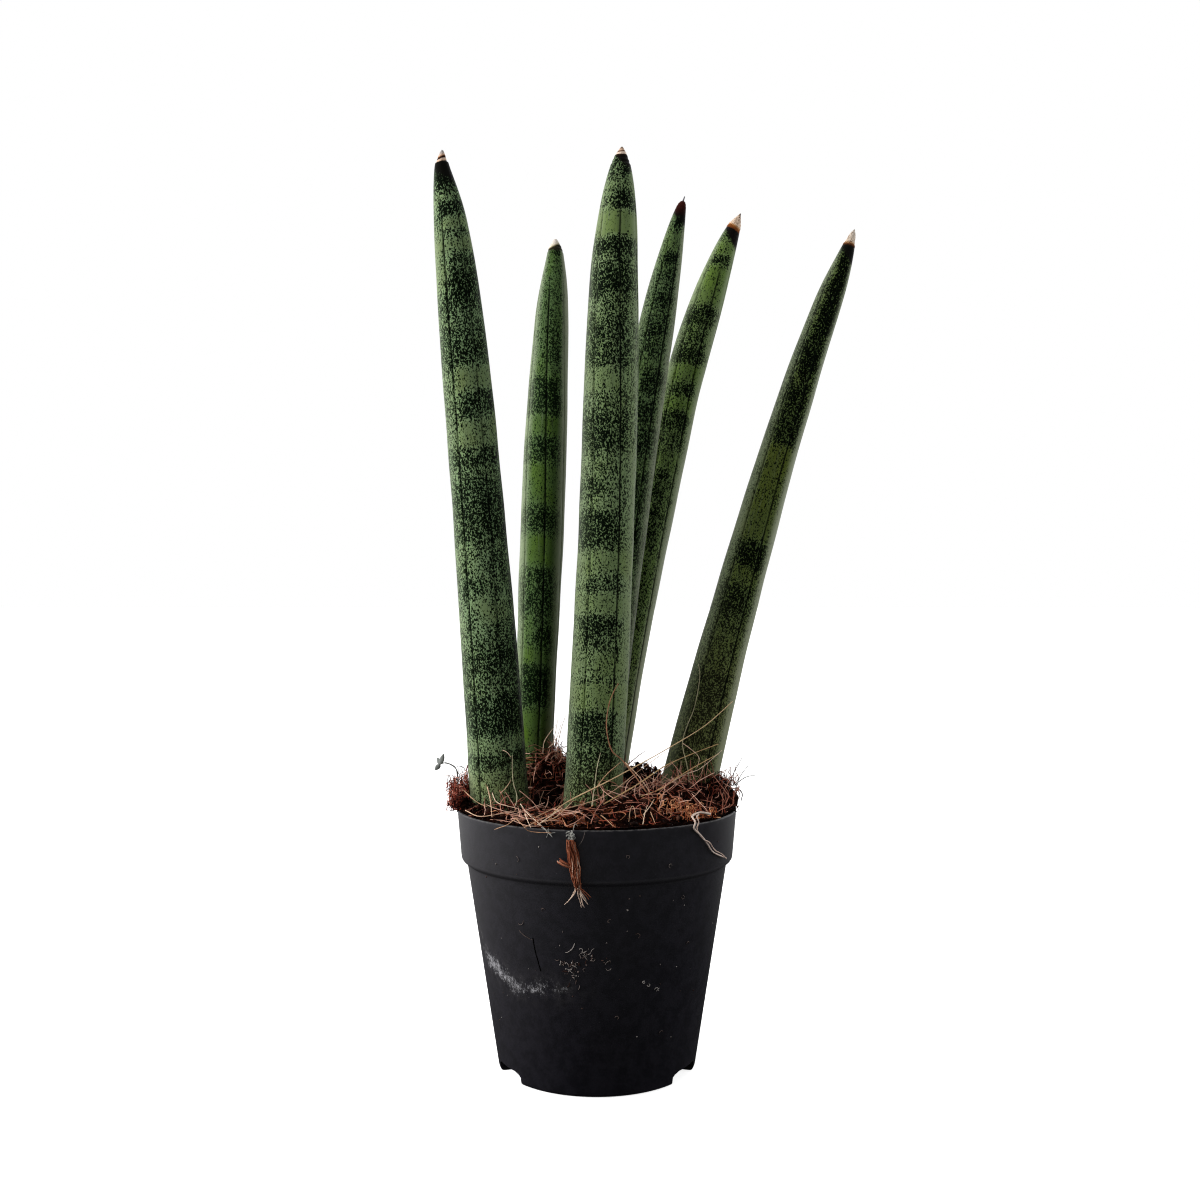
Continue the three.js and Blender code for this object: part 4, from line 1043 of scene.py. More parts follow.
def make_crumbs(name, draw, places, sizes, finish, slot):
    """Angular crumbs of bark and peat: each is a twenty-sided lump pulled out of shape."""
    golden = (1 + math.sqrt(5)) / 2
    corners = [(-1, golden, 0), (1, golden, 0), (-1, -golden, 0), (1, -golden, 0),
               (0, -1, golden), (0, 1, golden), (0, -1, -golden), (0, 1, -golden),
               (golden, 0, -1), (golden, 0, 1), (-golden, 0, -1), (-golden, 0, 1)]
    sides = [(0, 11, 5), (0, 5, 1), (0, 1, 7), (0, 7, 10), (0, 10, 11), (1, 5, 9), (5, 11, 4),
             (11, 10, 2), (10, 7, 6), (7, 1, 8), (3, 9, 4), (3, 4, 2), (3, 2, 6), (3, 6, 8),
             (3, 8, 9), (4, 9, 5), (2, 4, 11), (6, 2, 10), (8, 6, 7), (9, 8, 1)]
    count, n = len(places), len(corners)
    shape = np.array(corners) / math.hypot(1, golden)
    stretch = draw.uniform(0.55, 1.3, (count, 1, 3))
    knock = draw.uniform(0.75, 1.25, (count, n, 1))
    points = places[:, None] + shape[None] * stretch * knock * sizes[:, None, None]
    faces = (np.array(sides)[None] + (np.arange(count) * n)[:, None, None]).reshape(-1, 3)
    tones = np.repeat(draw.random(count), n)
    make_piece(name, points.reshape(-1, 3), faces, finish, slot, (), {"tone": tones})


def clump(draw, count, middle, size):
    """Random places in a round clump."""
    return np.array(middle) + draw.normal(0, 1, (count, 3)).clip(-1.8, 1.8) * np.array(size)


# Where the coir laps over the rim at the left: the tuft, its peak and its lip, by middle and size.
LEFT_TUFT = (-61.2, -2, 114.6), (2.0, 6.5, 3.2)
LEFT_PEAK = (-57.0, -3, 118.5), (1.3, 4, 4.0)
LEFT_LIP = (-59.4, -8, 111.8), (0.7, 8, 0.8)
# Bright orange fibres sit at the front right.
ORANGE_TUFT = (36.5, -31, 114.8), (6.5, 4.5, 3.2)

coir_draw = np.random.default_rng(11)
make_piece("coir_bed", *coir_bed(), bed_finish(), "coir", ["coir_mat"])

red_brown = fibre_finish("red_coir", (0.0, (0.004, 0.001, 0.0007)), (0.45, (0.036, 0.006, 0.004)),
                         (0.72, (0.33, 0.066, 0.040)), (1.0, (0.74, 0.33, 0.25)))
make_fibres("coir_brown", red_brown, coir_draw, [
    (over_bed(coir_draw, 1750), (6, 30), (3, 12), (0.13, 0.24), 0.7, (-0.7, 1.0), (-0.8, 2.2)),
    (over_bed(coir_draw, 460, ((-22, 36), (12, 8))), (15, 35), (3, 10), (0.16, 0.27), 1.0,
     (-0.2, 1.1), (-0.5, 2)),
    (clump(coir_draw, 130, *LEFT_LIP), (0, 25), (2, 5), (0.15, 0.24), 1.2, (-0.2, 0.8), (0, 0)),
    (over_bed(coir_draw, 160, ((56, 4), (3.5, 11))), (5, 30), (3, 9), (0.18, 0.28), 1.1,
     (-0.4, 0.8), (-1, 4)),
], 2.6, 5.0)
make_fibres("coir_tuft", red_brown, coir_draw, [
    (clump(coir_draw, 330, *LEFT_TUFT), (5, 35), (2.5, 7), (0.15, 0.25), 1.3, (0.15, 1.25),
     (-0.5, 0.5)),
    (clump(coir_draw, 90, *LEFT_PEAK), (30, 35), (2.5, 6), (0.15, 0.22), 1.0, (0.2, 1.2), (-0.5, 0.5)),
], 4.6, 12.0)

pinkish = fibre_finish("pale_coir", (0.0, (0.11, 0.026, 0.016)), (0.5, (0.40, 0.155, 0.105)),
                       (1.0, (0.84, 0.52, 0.40)))
make_fibres("coir_pale", pinkish, coir_draw, [
    (over_bed(coir_draw, 90), (8, 25), (7, 15), (0.14, 0.20), 0.35, (-0.1, 1.0), (0.3, 2.6)),
    (over_bed(coir_draw, 60, ((30, -16), (17, 14))), (12, 45), (6, 13), (0.13, 0.19), 0.5,
     (0.1, 1.2), (0.5, 3)),
    (over_bed(coir_draw, 105, ((33, -12), (17, 14))), (30, 18), (9, 21), (0.13, 0.17), 0.2,
     (0.1, 1.25), (0.3, 3)),
    (over_bed(coir_draw, 60, ((-26, -42), (13, 7))), (2, 18), (9, 20), (0.13, 0.17), 0.25,
     (0.1, 1.25), (0.6, 3)),
    (over_bed(coir_draw, 170, ((-18, 33), (9, 5))), (15, 40), (5, 12), (0.16, 0.23), 0.7,
     (0.1, 1.1), (0, 3)),
    (over_bed(coir_draw, 50, ((56, 2), (4, 9))), (20, 25), (4, 10), (0.13, 0.20), 0.9,
     (0.0, 0.7), (0, 4), (-60, 80)),
], 3.8, 12.0, sides=4)

orange = fibre_finish("orange_coir", (0.0, (0.03, 0.005, 0.002)), (0.5, (0.36, 0.085, 0.032)),
                      (1.0, (0.92, 0.46, 0.24)))
make_fibres("coir_fine", orange, coir_draw, [
    (clump(coir_draw, 260, *ORANGE_TUFT), (10, 45), (3, 8), (0.16, 0.23), 1.5, (0.1, 1.3), (-0.5, 1)),
    (over_bed(coir_draw, 130, ((-14, -46), (17, 7))), (8, 22), (5, 12), (0.13, 0.20), 0.7,
     (0.1, 1.0), (0.3, 2.2)),
    (over_bed(coir_draw, 130), (3, 15), (5, 13), (0.13, 0.19), 0.8, (-0.1, 0.8), (0, 2.2)),
], 2.6, 5.0, steps=10)

# Where the leaves leave the coir, dry fibres of their sheaths stand against them.
SHEATH_FIBRES = 26  # round each leaf
sheath_places = []
for leaf in LEAVES.values():
    turn = coir_draw.uniform(0, 2 * math.pi, SHEATH_FIBRES)
    reach = leaf["width"] / 2 + coir_draw.uniform(0.5, 1.6, SHEATH_FIBRES)
    x, y = leaf["foot"][0] + reach * np.cos(turn), leaf["foot"][1] + reach * np.sin(turn)
    sheath_places.append(np.stack([x, y, bed_height(x, y)], -1))
make_fibres("sheath_fibres", pinkish, coir_draw, [
    (np.concatenate(sheath_places), (68, 14), (4, 12), (0.14, 0.30), 0.25, (0.0, 0.8), (-0.5, 0.5)),
], 2.0, 12.0)

peat_crumb = fibre_finish("peat_crumb", (0.0, (0.004, 0.002, 0.0015)), (0.7, (0.030, 0.011, 0.007)),
                          (1.0, (0.11, 0.045, 0.028)))
places = np.vstack([over_bed(coir_draw, 360), over_bed(coir_draw, 60, ((16, 42), (14, 7)))])
places[:, 2] += coir_draw.uniform(0, 1.2, len(places))
make_crumbs("peat_crumbs", coir_draw, clear_of_leaves(places, 1.2),
            coir_draw.uniform(0.5, 1.6, len(places)), peat_crumb, "coir")

# A few springy ones span the hollow between the two front leaves.
make_fibres("hollow_fibres", pinkish, coir_draw, [
    (over_bed(coir_draw, 110, ((-22, 8), (8, 12))), (12, 35), (6, 14), (0.13, 0.20), 0.6,
     (0.0, 1.0), (0, 4)),
], 3.8, 12.0, sides=4)


# ------------------------------------------------------------------ loose roots and straws
# Dry roots and straws of grass lie loose on the coir and lean on the leaves: thin, springy and pale.
# The seven named ones are the longest.

ROOTS = {
    "root_long": [(-18.5, -46.5, 113), (-13, -24, 115), (3, -23, 123), (18, -16, 130), (30, -11, 136),
                  (46.5, 0, 144.5), (59.5, 8, 154.5)],
    "root_crossing": [(3, -23.5, 114.5), (16, -20, 121.5), (29, -7, 128), (40.5, 1, 132),
                      (53, 6, 136)],
    "root_low": [(18, -11.5, 115.5), (26.5, -16, 119.5), (34.5, -8, 123.5), (43.5, -3, 128),
                 (53, 4, 132)],
    "root_on_right_leaf": [(40.5, 2, 115), (39, -2, 126.5), (37, 0, 136.5), (39, 2, 144),
                           (42, 3.5, 151), (44, 5, 159), (45, 6.5, 166), (44.5, 7.5, 171)],
    "root_on_centre_leaf": [(20.5, -24, 119.5), (16, -20, 125.5), (10.5, -18, 132), (6, -18.5, 136.5),
                            (4, -18.5, 146), (5, -18.5, 155), (7, -18, 160.5), (9, -17, 164)],
    "root_short": [(-2, -31.5, 115), (-1, -18, 120.5), (0, -18, 128.5), (1.5, -17.5, 135)],
    "root_on_left_leaf": [(-34, -20, 113), (-33.5, -17, 116.5), (-35, -16.5, 122),
                          (-35.5, -16.5, 127.5), (-35.5, -16.5, 134)],
}
STRAWS = [
    [(-58.5, -2, 118), (-52.5, -21, 117), (-49, -24, 115), (-45, -28, 114)],
    [(-44, -16, 118), (-41.5, -24.5, 115.5), (-36.5, -31.5, 115), (-31.5, -33, 114)],
    [(-46, -16, 120.5), (-44, -24, 115.5), (-41.5, -46.5, 113)],
    [(-54, -27.5, 112.5), (-46.5, -42, 112.5), (-35.5, -44.5, 114.5), (-31.5, -44, 115)],
    [(-32, -51, 113), (-35, -52.5, 111), (-38, -50, 109.5), (-40.5, -46, 108)],
    [(-32, -51, 113.5), (-28.5, -57, 111.5), (-26, -55.5, 109), (-17.5, -59, 109)],
    [(-28.5, -45, 114), (-27, -52.5, 112.5), (-25.5, -58.5, 111)],
    [(-24.5, -51.5, 113.5), (-20, -50, 115.5), (-15, -40, 116.5)],
    [(-23, -55.5, 111.5), (-18.5, -55, 114.5), (-13.5, -49, 117)],
    [(-22, -54, 112), (-16, -52, 114), (-9.5, -34, 117.5)],
    [(-31.5, -26.5, 115), (-27.5, -46, 114.5), (-21.5, -57, 111.5)],
    [(-28, -58.5, 111), (-15, -41, 114.5), (3, -26, 118), (18, -16, 127.5), (29, -10, 134.5)],
    [(25, -3.5, 116), (37, -6, 124), (44.5, -3, 126.5), (54.5, 4, 133.5)],
    [(12, -14, 130.5), (18, -17, 124.5), (23.5, -22, 117)],
    [(0, -18.5, 121), (4.5, -18.5, 126.5), (10, -17, 131)],
    [(18.5, -44.5, 113.5), (21.5, -38, 116), (23.5, -29.5, 117.5)],
    [(37, 0, 137), (40, -1, 135), (44, -1, 131), (43, -3, 126.5)],
    [(-39.5, -16.5, 136), (-37.5, -17, 135), (-36, -17, 133)],
    [(-40.5, -18, 118), (-38, -18, 120.5), (-36, -17, 123.5)],
    [(-28.5, 2, 121.5), (-29, 0, 117), (-28.5, -1, 111.5)],
    [(-23, -2, 116.5), (-24.5, -3, 112.5), (-25, -4, 110)],
    [(-30.5, 14, 134), (-27, 15, 134.5), (-22.5, 16, 132)],
    [(-24.5, 24, 129.5), (-24, 25, 134.5), (-22, 26, 138), (-18.5, 27, 142.5)],
    [(-20, 22, 133.5), (-18.5, 22, 140.5), (-17.5, 23, 146.5)],
    [(-17.5, 22, 135), (-16, 22, 141.5), (-14, 22, 147.5)],
    [(-22, 26, 132), (-18.5, 24, 136), (-16, 24, 144)],
    [(1.6, -50, 114.4), (4, -52, 112.8), (6.6, -55.5, 110.8)],
    [(12.7, -45, 110.8), (13.5, -45, 116.2), (14.7, -45, 116.8), (15.5, -46, 112.4)],
    [(18.1, -52, 111), (18.9, -49, 114.4), (20, -48, 118)],
    [(21.2, -50, 115.6), (23, -52, 111.2)],
]
HAIRS = [
    [(58.5, -4, 115), (61.5, -2, 122.5), (65.5, 0, 127.5)],
    [(56, -6, 117.5), (58.5, -5, 124.5), (62.5, -4, 131.5)],
    [(59.5, 2, 118.5), (64.5, 2, 122), (70, 3, 123)],
]


ROOT_STEPS, STRAW_STEPS = 48, 24  # points along each
SPLINE_STEPS = 12  # between two of the points that a line goes through


def smooth_line(points, steps):
    """A smooth curve through points, evenly stepped."""
    p = np.array(points, float)
    p = np.vstack([2 * p[0] - p[1], p, 2 * p[-1] - p[-2]])
    line = []
    for i in range(1, len(p) - 2):
        t = np.linspace(0, 1, SPLINE_STEPS, endpoint=i == len(p) - 3)[:, None]
        line.append(0.5 * (2 * p[i] + (p[i + 1] - p[i - 1]) * t
                           + (2 * p[i - 1] - 5 * p[i] + 4 * p[i + 1] - p[i + 2]) * t**2
                           + (3 * p[i] - p[i - 1] - 3 * p[i + 1] + p[i + 2]) * t**3))
    line = np.vstack(line)
    runs = np.concatenate([[0], np.cumsum(np.linalg.norm(np.diff(line, axis=0), axis=1))])
    even = np.linspace(0, runs[-1], steps)
    return np.stack([np.interp(even, runs, line[:, i]) for i in range(3)], -1)


def thread_radii(draw, count, steps, radius, end):
    """A thread's radius along it: it thins towards its free end and isn't quite even."""
    share = np.linspace(0, 1, steps)
    wave = 1 + 0.12 * np.sin(share[None] * 31 + draw.uniform(0, 6, (count, 1)))
    return radius * (1 - (1 - end) * share[None] ** 1.5) * wave


dry_straw = fibre_finish("dry_straw", (0.0, (0.24, 0.095, 0.050)), (0.5, (0.60, 0.36, 0.22)),
                         (1.0, (0.86, 0.68, 0.52)), blotched=0.25)
golden_straw = fibre_finish("golden_straw", (0.0, (0.24, 0.12, 0.045)), (0.5, (0.58, 0.38, 0.19)),
                            (1.0, (0.84, 0.64, 0.42)), blotched=0.12)
pale_root = fibre_finish("pale_root", (0.0, (0.24, 0.22, 0.12)), (0.5, (0.46, 0.42, 0.27)),
                         (1.0, (0.66, 0.60, 0.46)), blotched=0.2)
grey_hair = fibre_finish("grey_hair", (0.0, (0.02, 0.02, 0.02)), (1.0, (0.10, 0.09, 0.085)),
                         blotched=0.1)

# The thin pale roots and the dark one. The others are golden.
PALE_ROOTS, DARK_ROOT = ("root_on_right_leaf", "root_on_left_leaf", "root_short"), "root_on_centre_leaf"
root_draw = np.random.default_rng(5)
for name, points in ROOTS.items():
    paths = [clear_of_leaves(smooth_line(points, ROOT_STEPS), 0.45)]
    radii = thread_radii(root_draw, 1, ROOT_STEPS, 0.21 if name in PALE_ROOTS else 0.27, 0.6)
    tones = [0.1 if name == DARK_ROOT else root_draw.uniform(0.35, 0.75)]
    finish = pale_root if name in PALE_ROOTS else dry_straw if name == DARK_ROOT else golden_straw
    make_threads(name.replace("root", "straw"), paths, radii, tones, 8, finish, "dry_root", [name])

paths = [clear_of_leaves(smooth_line(points, STRAW_STEPS), 0.4) for points in STRAWS]
make_threads("short_straws", paths, thread_radii(root_draw, len(paths), STRAW_STEPS, 0.185, 0.5),
             root_draw.uniform(0.3, 1.0, len(paths)), 6, dry_straw, "dry_root")

paths = [smooth_line(points, STRAW_STEPS) for points in HAIRS]
make_threads("grey_hairs", paths, thread_radii(root_draw, len(paths), STRAW_STEPS, 0.21, 0.4),
             root_draw.uniform(0.3, 1.0, len(paths)), 5, grey_hair, "dry_root")


# ------------------------------------------------------------------ root over the rim
# A pale root comes out of the coir at the right, turns over the rim and runs down the collar. It is
# split in two along most of its length, and the two strands cross and part again.

# Each strand starts in the coir, by points, and goes on down the collar, by turn, distance off it
# and height. Then come its radius and tone, and how thick its end still is.
RIM_ROOT_STEPS = 70
RIM_ROOT = [
    ([(46, -36.5, 112.5), (41.5, -38.5, 113.5), (38, -44.5, 113)],
     [(-50.6, 1.4, 111.2), (-50.6, 0.9, 108.5), (-46.6, 0.8, 105.2), (-43, 0.8, 101.8),
      (-38.8, 0.8, 97.6), (-32.5, 0.8, 94.8), (-27, 0.9, 92.9)], 0.42, 0.6, 0.72),
    ([(41, -39, 112.8), (39.8, -44.5, 112.8)],
     [(-48.9, 1.4, 111), (-48.9, 0.8, 107.6), (-45.2, 0.8, 103.6), (-42.1, 1.5, 101.8),
      (-37.2, 0.8, 97.9), (-31.3, 0.8, 95.3), (-27.4, 1.3, 92.6)], 0.30, 0.7, 0.55),
]


def round_pot(turn, radius, height):
    """A point by its turn round the pot in degrees, its radius and its height."""
    return radius * math.cos(math.radians(turn)), radius * math.sin(math.radians(turn)), height


def collar_radius(height):
    """The collar's outer radius. Below the collar its line goes straight on."""
    share = (height - COLLAR_FOOT[1]) / (RIM[1] - COLLAR_FOOT[1])
    return COLLAR_FOOT[0] + (RIM[0] - COLLAR_FOOT[0]) * share


def on_collar(turn, out, height):
    """A point that far off the collar's face."""
    return round_pot(turn, collar_radius(height) + out, height)


strands = []
for in_coir, down, radius, end, tone in RIM_ROOT:
    path = smooth_line(in_coir + [on_collar(*spot) for spot in down], RIM_ROOT_STEPS)
    strands.append((path, thread_radii(root_draw, 1, RIM_ROOT_STEPS, radius, end)[0], tone))
pale_bark = fibre_finish("rim_root", (0.0, (0.28, 0.15, 0.11)), (0.6, (0.66, 0.50, 0.42)),
                         (1.0, (0.86, 0.76, 0.68)), blotched=0.7)
make_threads("split_root", *zip(*strands), 8, pale_bark, "dry_root", ["rim_root"])


# ------------------------------------------------------------------ scrap of husk
# A shred of coconut husk hangs over the front of the rim on a thread: a flat bundle of red-brown
# fibres that frays at its foot, with a chip curling off its left side.

HUSK_TURN, HUSK_SWING = -99.6, 2.4  # where it hangs, and how far round it swings on its way down
HUSK_TOP, HUSK_FOOT = 106.6, 88
HUSK_WIDTH, HUSK_THICK = 4.0, 1.6
HUSK_OUTLINE = [0, 0.2, 0.6, 0.8, 1, 1.4], [0.75, 0.9, 1.0, 0.85, 0.55, 0.5]  # way down, share of width
HUSK_STRANDS, HUSK_FLAKES = 78, 11
# The strands that hang out of its foot: where they leave it (-1 to 1), and how far they go round
# and down, in mm.
HUSK_ENDS = [(-0.5, -4.6, 8.6), (-0.3, -3.9, 8.0), (0.1, 1.2, 9.6), (0.25, 2.0, 8.8), (0.5, 2.0, 9.4),
             (0.7, 3.0, 8.4), (0.9, 3.4, 6.4), (0.8, 2.2, 6.8), (0.95, 4.2, 5.6)]
FLUFF_LOOPS, FLUFF_WISPS = 20, 8
husk_draw = np.random.default_rng(8)
ALONG = np.linspace(0, 1, 16)  # the points along a short thread
SHORT = len(ALONG)


def mm_round(distance):
    """A distance round the collar, as an angle."""
    return math.degrees(distance / RIM[0])


def husk_strand(number):
    """A fibre of the bundle: its path, radii and tone. Some start part of the way down."""
    side, depth = husk_draw.uniform(-1, 1), husk_draw.random()
    top = HUSK_TOP - abs(side) * husk_draw.uniform(0, 1.6)
    foot = HUSK_FOOT + husk_draw.uniform(-2.0, 5)
    if husk_draw.random() < 0.35:
        top = husk_draw.uniform(HUSK_FOOT + 6, HUSK_TOP - 4)
    phase = husk_draw.uniform(0, 6.28, 2)
    bulge = 0.5 + depth * HUSK_THICK * math.sqrt(max(0.05, 1 - side**2))
    path = []
    for share in ALONG:
        height = top + (foot - top) * share
        down = (HUSK_TOP - height) / (HUSK_TOP - HUSK_FOOT)
        across = side * np.interp(down, *HUSK_OUTLINE) * HUSK_WIDTH / 2
        across += 0.35 * math.sin(share * 9 + phase[0])
        turn = HUSK_TURN + HUSK_SWING * down + mm_round(across)
        path.append(on_collar(turn, bulge + 0.3 * math.sin(share * 7 + phase[1]), height))
    radii = husk_draw.uniform(0.14, 0.30) * (1 - 0.5 * np.linspace(-0.6, 1, SHORT) ** 2)
    return path, radii, husk_draw.uniform(0.15, 0.75) if number % 8 else 0.9


def husk_end(side, across, drop):
    """A strand that frays out of the foot."""
    path = []
    for share in ALONG:
        round_by = side * 1.3 + across * max(0, share - 0.25) ** 1.3 / 0.69
        round_by += 0.2 * math.sin(share * 8 + side * 9)
        out = 0.6 + 0.3 * math.sin(share * 5 + side * 7)
        turn = HUSK_TURN + HUSK_SWING + mm_round(round_by)
        path.append(on_collar(turn, out, HUSK_FOOT + 1.5 - drop * share))
    return path, 0.22 * (1 - 0.4 * ALONG**2), 1.15 if side < 0.85 else 0.5


def husk_flake():
    """A fibre of the chip that curls off to the left."""
    rise = husk_draw.uniform(-1.0, 1.0)
    turns = HUSK_TURN + np.linspace(0.2, husk_draw.uniform(-4.9, -3.4), SHORT)
    heights = np.linspace(97.2, 99.6, SHORT) - husk_draw.uniform(0, 2.6)
    heights += rise * np.linspace(0.8, 1, SHORT)
    curls = 1.1 + 1.2 * np.sin(2.6 * ALONG)
    path = [on_collar(turn, curl + husk_draw.uniform(-0.1, 0.1), height)
            for turn, curl, height in zip(turns, curls, heights)]
    return path, np.full(SHORT, husk_draw.uniform(0.2, 0.32)), husk_draw.uniform(0.3, 0.95)


strands = [husk_strand(number) for number in range(HUSK_STRANDS)]
strands += [husk_end(*end) for end in HUSK_ENDS]
strands += [husk_flake() for _ in range(HUSK_FLAKES)]
husk_finish = fibre_finish("husk", (0.0, (0.035, 0.008, 0.004)), (0.45, (0.25, 0.072, 0.036)),
                           (0.75, (0.42, 0.165, 0.090)), (1.0, (0.66, 0.50, 0.40)))
make_threads("husk_shred", *zip(*strands), 6, husk_finish, "husk", ["husk_scrap"])

# A wad of grey fluff holds it by a short thread, and a few wisps lie on the rim to its left.
fluff_finish = fibre_finish("fluff", (0.0, (0.18, 0.18, 0.17)), (1.0, (0.62, 0.62, 0.58)))
paths = [smooth_line([(-7.5, -52.5, 110.5), (-8.4, -57, 112.2), on_collar(-98.4, 0.9, 110.8),
                      on_collar(-98.9, 0.8, 109), on_collar(-99.2, 0.9, 106)], SHORT)]
for _ in range(FLUFF_LOOPS):
    turn, height = husk_draw.normal(-99.4, 0.65), husk_draw.uniform(105.6, 109.6)
    way = husk_draw.uniform(0, 6.28)
    path = []
    for share in ALONG:
        path.append(on_collar(turn, 0.7 + 0.5 * math.sin(math.pi * share), height))
        way += husk_draw.uniform(0.1, 0.4)
        turn += 0.16 * math.cos(way)
        height += 0.16 * math.sin(way)
    paths.append(path)
for _ in range(FLUFF_WISPS):
    turn, height = husk_draw.normal(-108.5, 0.5), husk_draw.uniform(108.4, 109.8)
    way = husk_draw.uniform(0, 6.28)
    round_by, up = 3.0 * math.cos(way), 1.8 * math.sin(way)
    paths.append([on_collar(turn + round_by * share, 0.6, height + up * share) for share in ALONG])
make_threads("husk_thread", paths, thread_radii(husk_draw, len(paths), SHORT, 0.16, 0.6),
             husk_draw.uniform(0, 1, len(paths)), 5, fluff_finish, "husk")


# ------------------------------------------------------------------ weed seedling
# A tiny weed grows at the left edge: a bent stem with three grey-green leaflets at its end.

STEM = [(-60, -1, 114), (-60, -1.5, 119.5), (-60.5, -2, 125.5), (-62.5, -2, 127.8),
        (-65.6, -2, 128.8), (-67.6, -2, 128.2)]
STEM_STEPS = 40
LEAFLETS = [((0.32, -0.2, 1.0), 4.8), ((-0.7, -0.3, -0.75), 3.3), ((-0.55, 0.3, 0.8), 3.4)]
LEAFLET_ROWS, LEAFLET_SIDES = 9, 8


def leaflet(foot, way, length):
    """A small pointed leaf, a little folded along its middle and drooping: points, faces and tones."""
    way = np.array(way) / np.linalg.norm(way)
    flat = np.cross(way, [0.3, 1.0, 0.2])
    flat /= np.linalg.norm(flat)
    normal = np.cross(way, flat)
    share = np.linspace(0, 1, LEAFLET_ROWS)
    width = (0.95 * np.sin(math.pi * share**0.8) ** 0.8 + 0.12)[:, None]
    middle = foot + way * (share * length)[:, None] - normal * (0.5 * share**2)[:, None]
    turn = ring_places(LEAFLET_SIDES)
    fold = 0.14 * np.sin(turn) - 0.25 * np.abs(np.cos(turn)) * width
    points = middle[:, None] + flat * (width * np.cos(turn))[..., None] + normal * fold[..., None]
    count = LEAFLET_ROWS * LEAFLET_SIDES
    faces = grid_faces(LEAFLET_ROWS, LEAFLET_SIDES)
    faces += [tuple(range(LEAFLET_SIDES))[::-1], tuple(range(count - LEAFLET_SIDES, count))]
    return points.reshape(-1, 3), faces, np.full(count, 0.6)


stem_path = smooth_line(STEM, STEM_STEPS)
parts = [tubes(stem_path[None], thread_radii(root_draw, 1, STEM_STEPS, 0.32, 0.8), 8, np.array([0.35]))]
parts += [leaflet(stem_path[-1], way, length) for way, length in LEAFLETS]
faces, offset = [], 0
for part_points, part_faces, _ in parts:
    faces += [[corner + offset for corner in face] for face in part_faces]
    offset += len(part_points)
weed_finish = fibre_finish("seedling", (0.0, (0.09, 0.085, 0.075)), (1.0, (0.32, 0.35, 0.34)))
make_piece("weed", np.vstack([part[0] for part in parts]), faces, weed_finish, "seedling", ["seedling"],
           {"tone": np.concatenate([part[2] for part in parts])})


# ------------------------------------------------------------------ crumbs and hairs on the pot
# Water carried fine fibres and crumbs down the pot, and they dried on: a tangle under the husk
# scrap, a few curls further round, and one long dark scratch beside the smear.

# Each as turn, height, heading (0 is round the pot, 90 up), length, curl, radius and tone.
STUCK = [
    (-103.7, 60.3, 12, 6.0, 0.25, 0.14, 0.9), (-96.5, 61, 15, 3.0, 0.9, 0.13, 0.9),
    (-126.2, 67.3, -40, 7.5, 0.1, 0.11, 0.3), (-67.5, 47.5, 80, 3.0, 1.3, 0.17, 1.0),
    (-65.5, 46.5, 10, 2.6, -1.1, 0.16, 0.9), (-61, 43, 0, 3.4, 1.0, 0.17, 1.0),
    (-59.5, 44, 140, 2.2, 0.9, 0.14, 0.8), (-60, 94.5, 60, 3.8, 1.1, 0.13, 0.5),
    (-51.5, 81, 30, 3.6, -1.2, 0.13, 0.5), (-84, 74, 120, 3.0, 0.9, 0.12, 0.3),
    (-72, 66, 10, 3.6, 0.8, 0.12, 0.25), (-112, 77, 80, 3.0, 0.9, 0.12, 0.3),
    (-126, 70, -40, 4.0, 0.5, 0.12, 0.35), (-78, 99, 15, 3.0, 1.0, 0.13, 0.4),
    (-94.4, 109.4, -95, 6.5, -0.15, 0.11, 0.5), (-122, 96, 10, 3.0, 0.6, 0.12, 0.4),
    (-44, 60, 70, 3.0, 0.8, 0.12, 0.3), (-80, 33, 20, 3.0, 0.9, 0.12, 0.25),
    (-55, 25, 100, 3.0, 0.7, 0.12, 0.25),
]
# The tangle: the middle and spread of its knots, in turn and height, and how many scraps each has.
KNOTS = [((-101, 52.8), (1.5, 2.2), 15), ((-98.5, 55.5), (2.6, 1.2), 9), ((-93.4, 59), (1.5, 1.1), 9),
         ((-106, 55.8), (1.4, 0.8), 5), ((-86, 56), (1.6, 2.0), 3)]
SCRATCH = [(-119, 65.0), (-118.4, 60), (-117.2, 55), (-116.3, 51.6)]  # turn and height
SCRATCH_STEPS = 30
LOOSE_CRUMBS = 40


def wall_radius(height):
    """The pot's outer radius, on the wall or on the collar."""
    if height < WALL_SHOULDER[1]:
        return WALL_FOOT[0] + (WALL_SHOULDER[0] - WALL_FOOT[0]) * height / WALL_SHOULDER[1]
    return collar_radius(height)


def on_wall(turn, height, out):
    """A point that far off the pot's face."""
    return round_pot(turn, wall_radius(height) + out, height)


def in_knots(draw):
    """A random turn and height in each knot, over and over."""
    for (turn, height), (turn_spread, height_spread), count in KNOTS:
        for _ in range(count):
            yield draw.normal(turn, turn_spread), draw.normal(height, height_spread)


def stuck_fibre(turn, height, heading, length, curl, radius, tone):
    """A curl of fibre that lies on the pot: its path, radii and tone."""
    path, way, step = [], math.radians(heading), length / (SHORT - 1)
    for share in ALONG:
        path.append(on_wall(turn, height, radius * 0.7 + 0.25 * math.sin(math.pi * share)))
        way += curl / 3.2
        turn += math.degrees(step * math.cos(way) / wall_radius(height))
        height += step * math.sin(way)
    return path, radius * (1 - 0.4 * np.linspace(-1, 1, SHORT) ** 2), tone


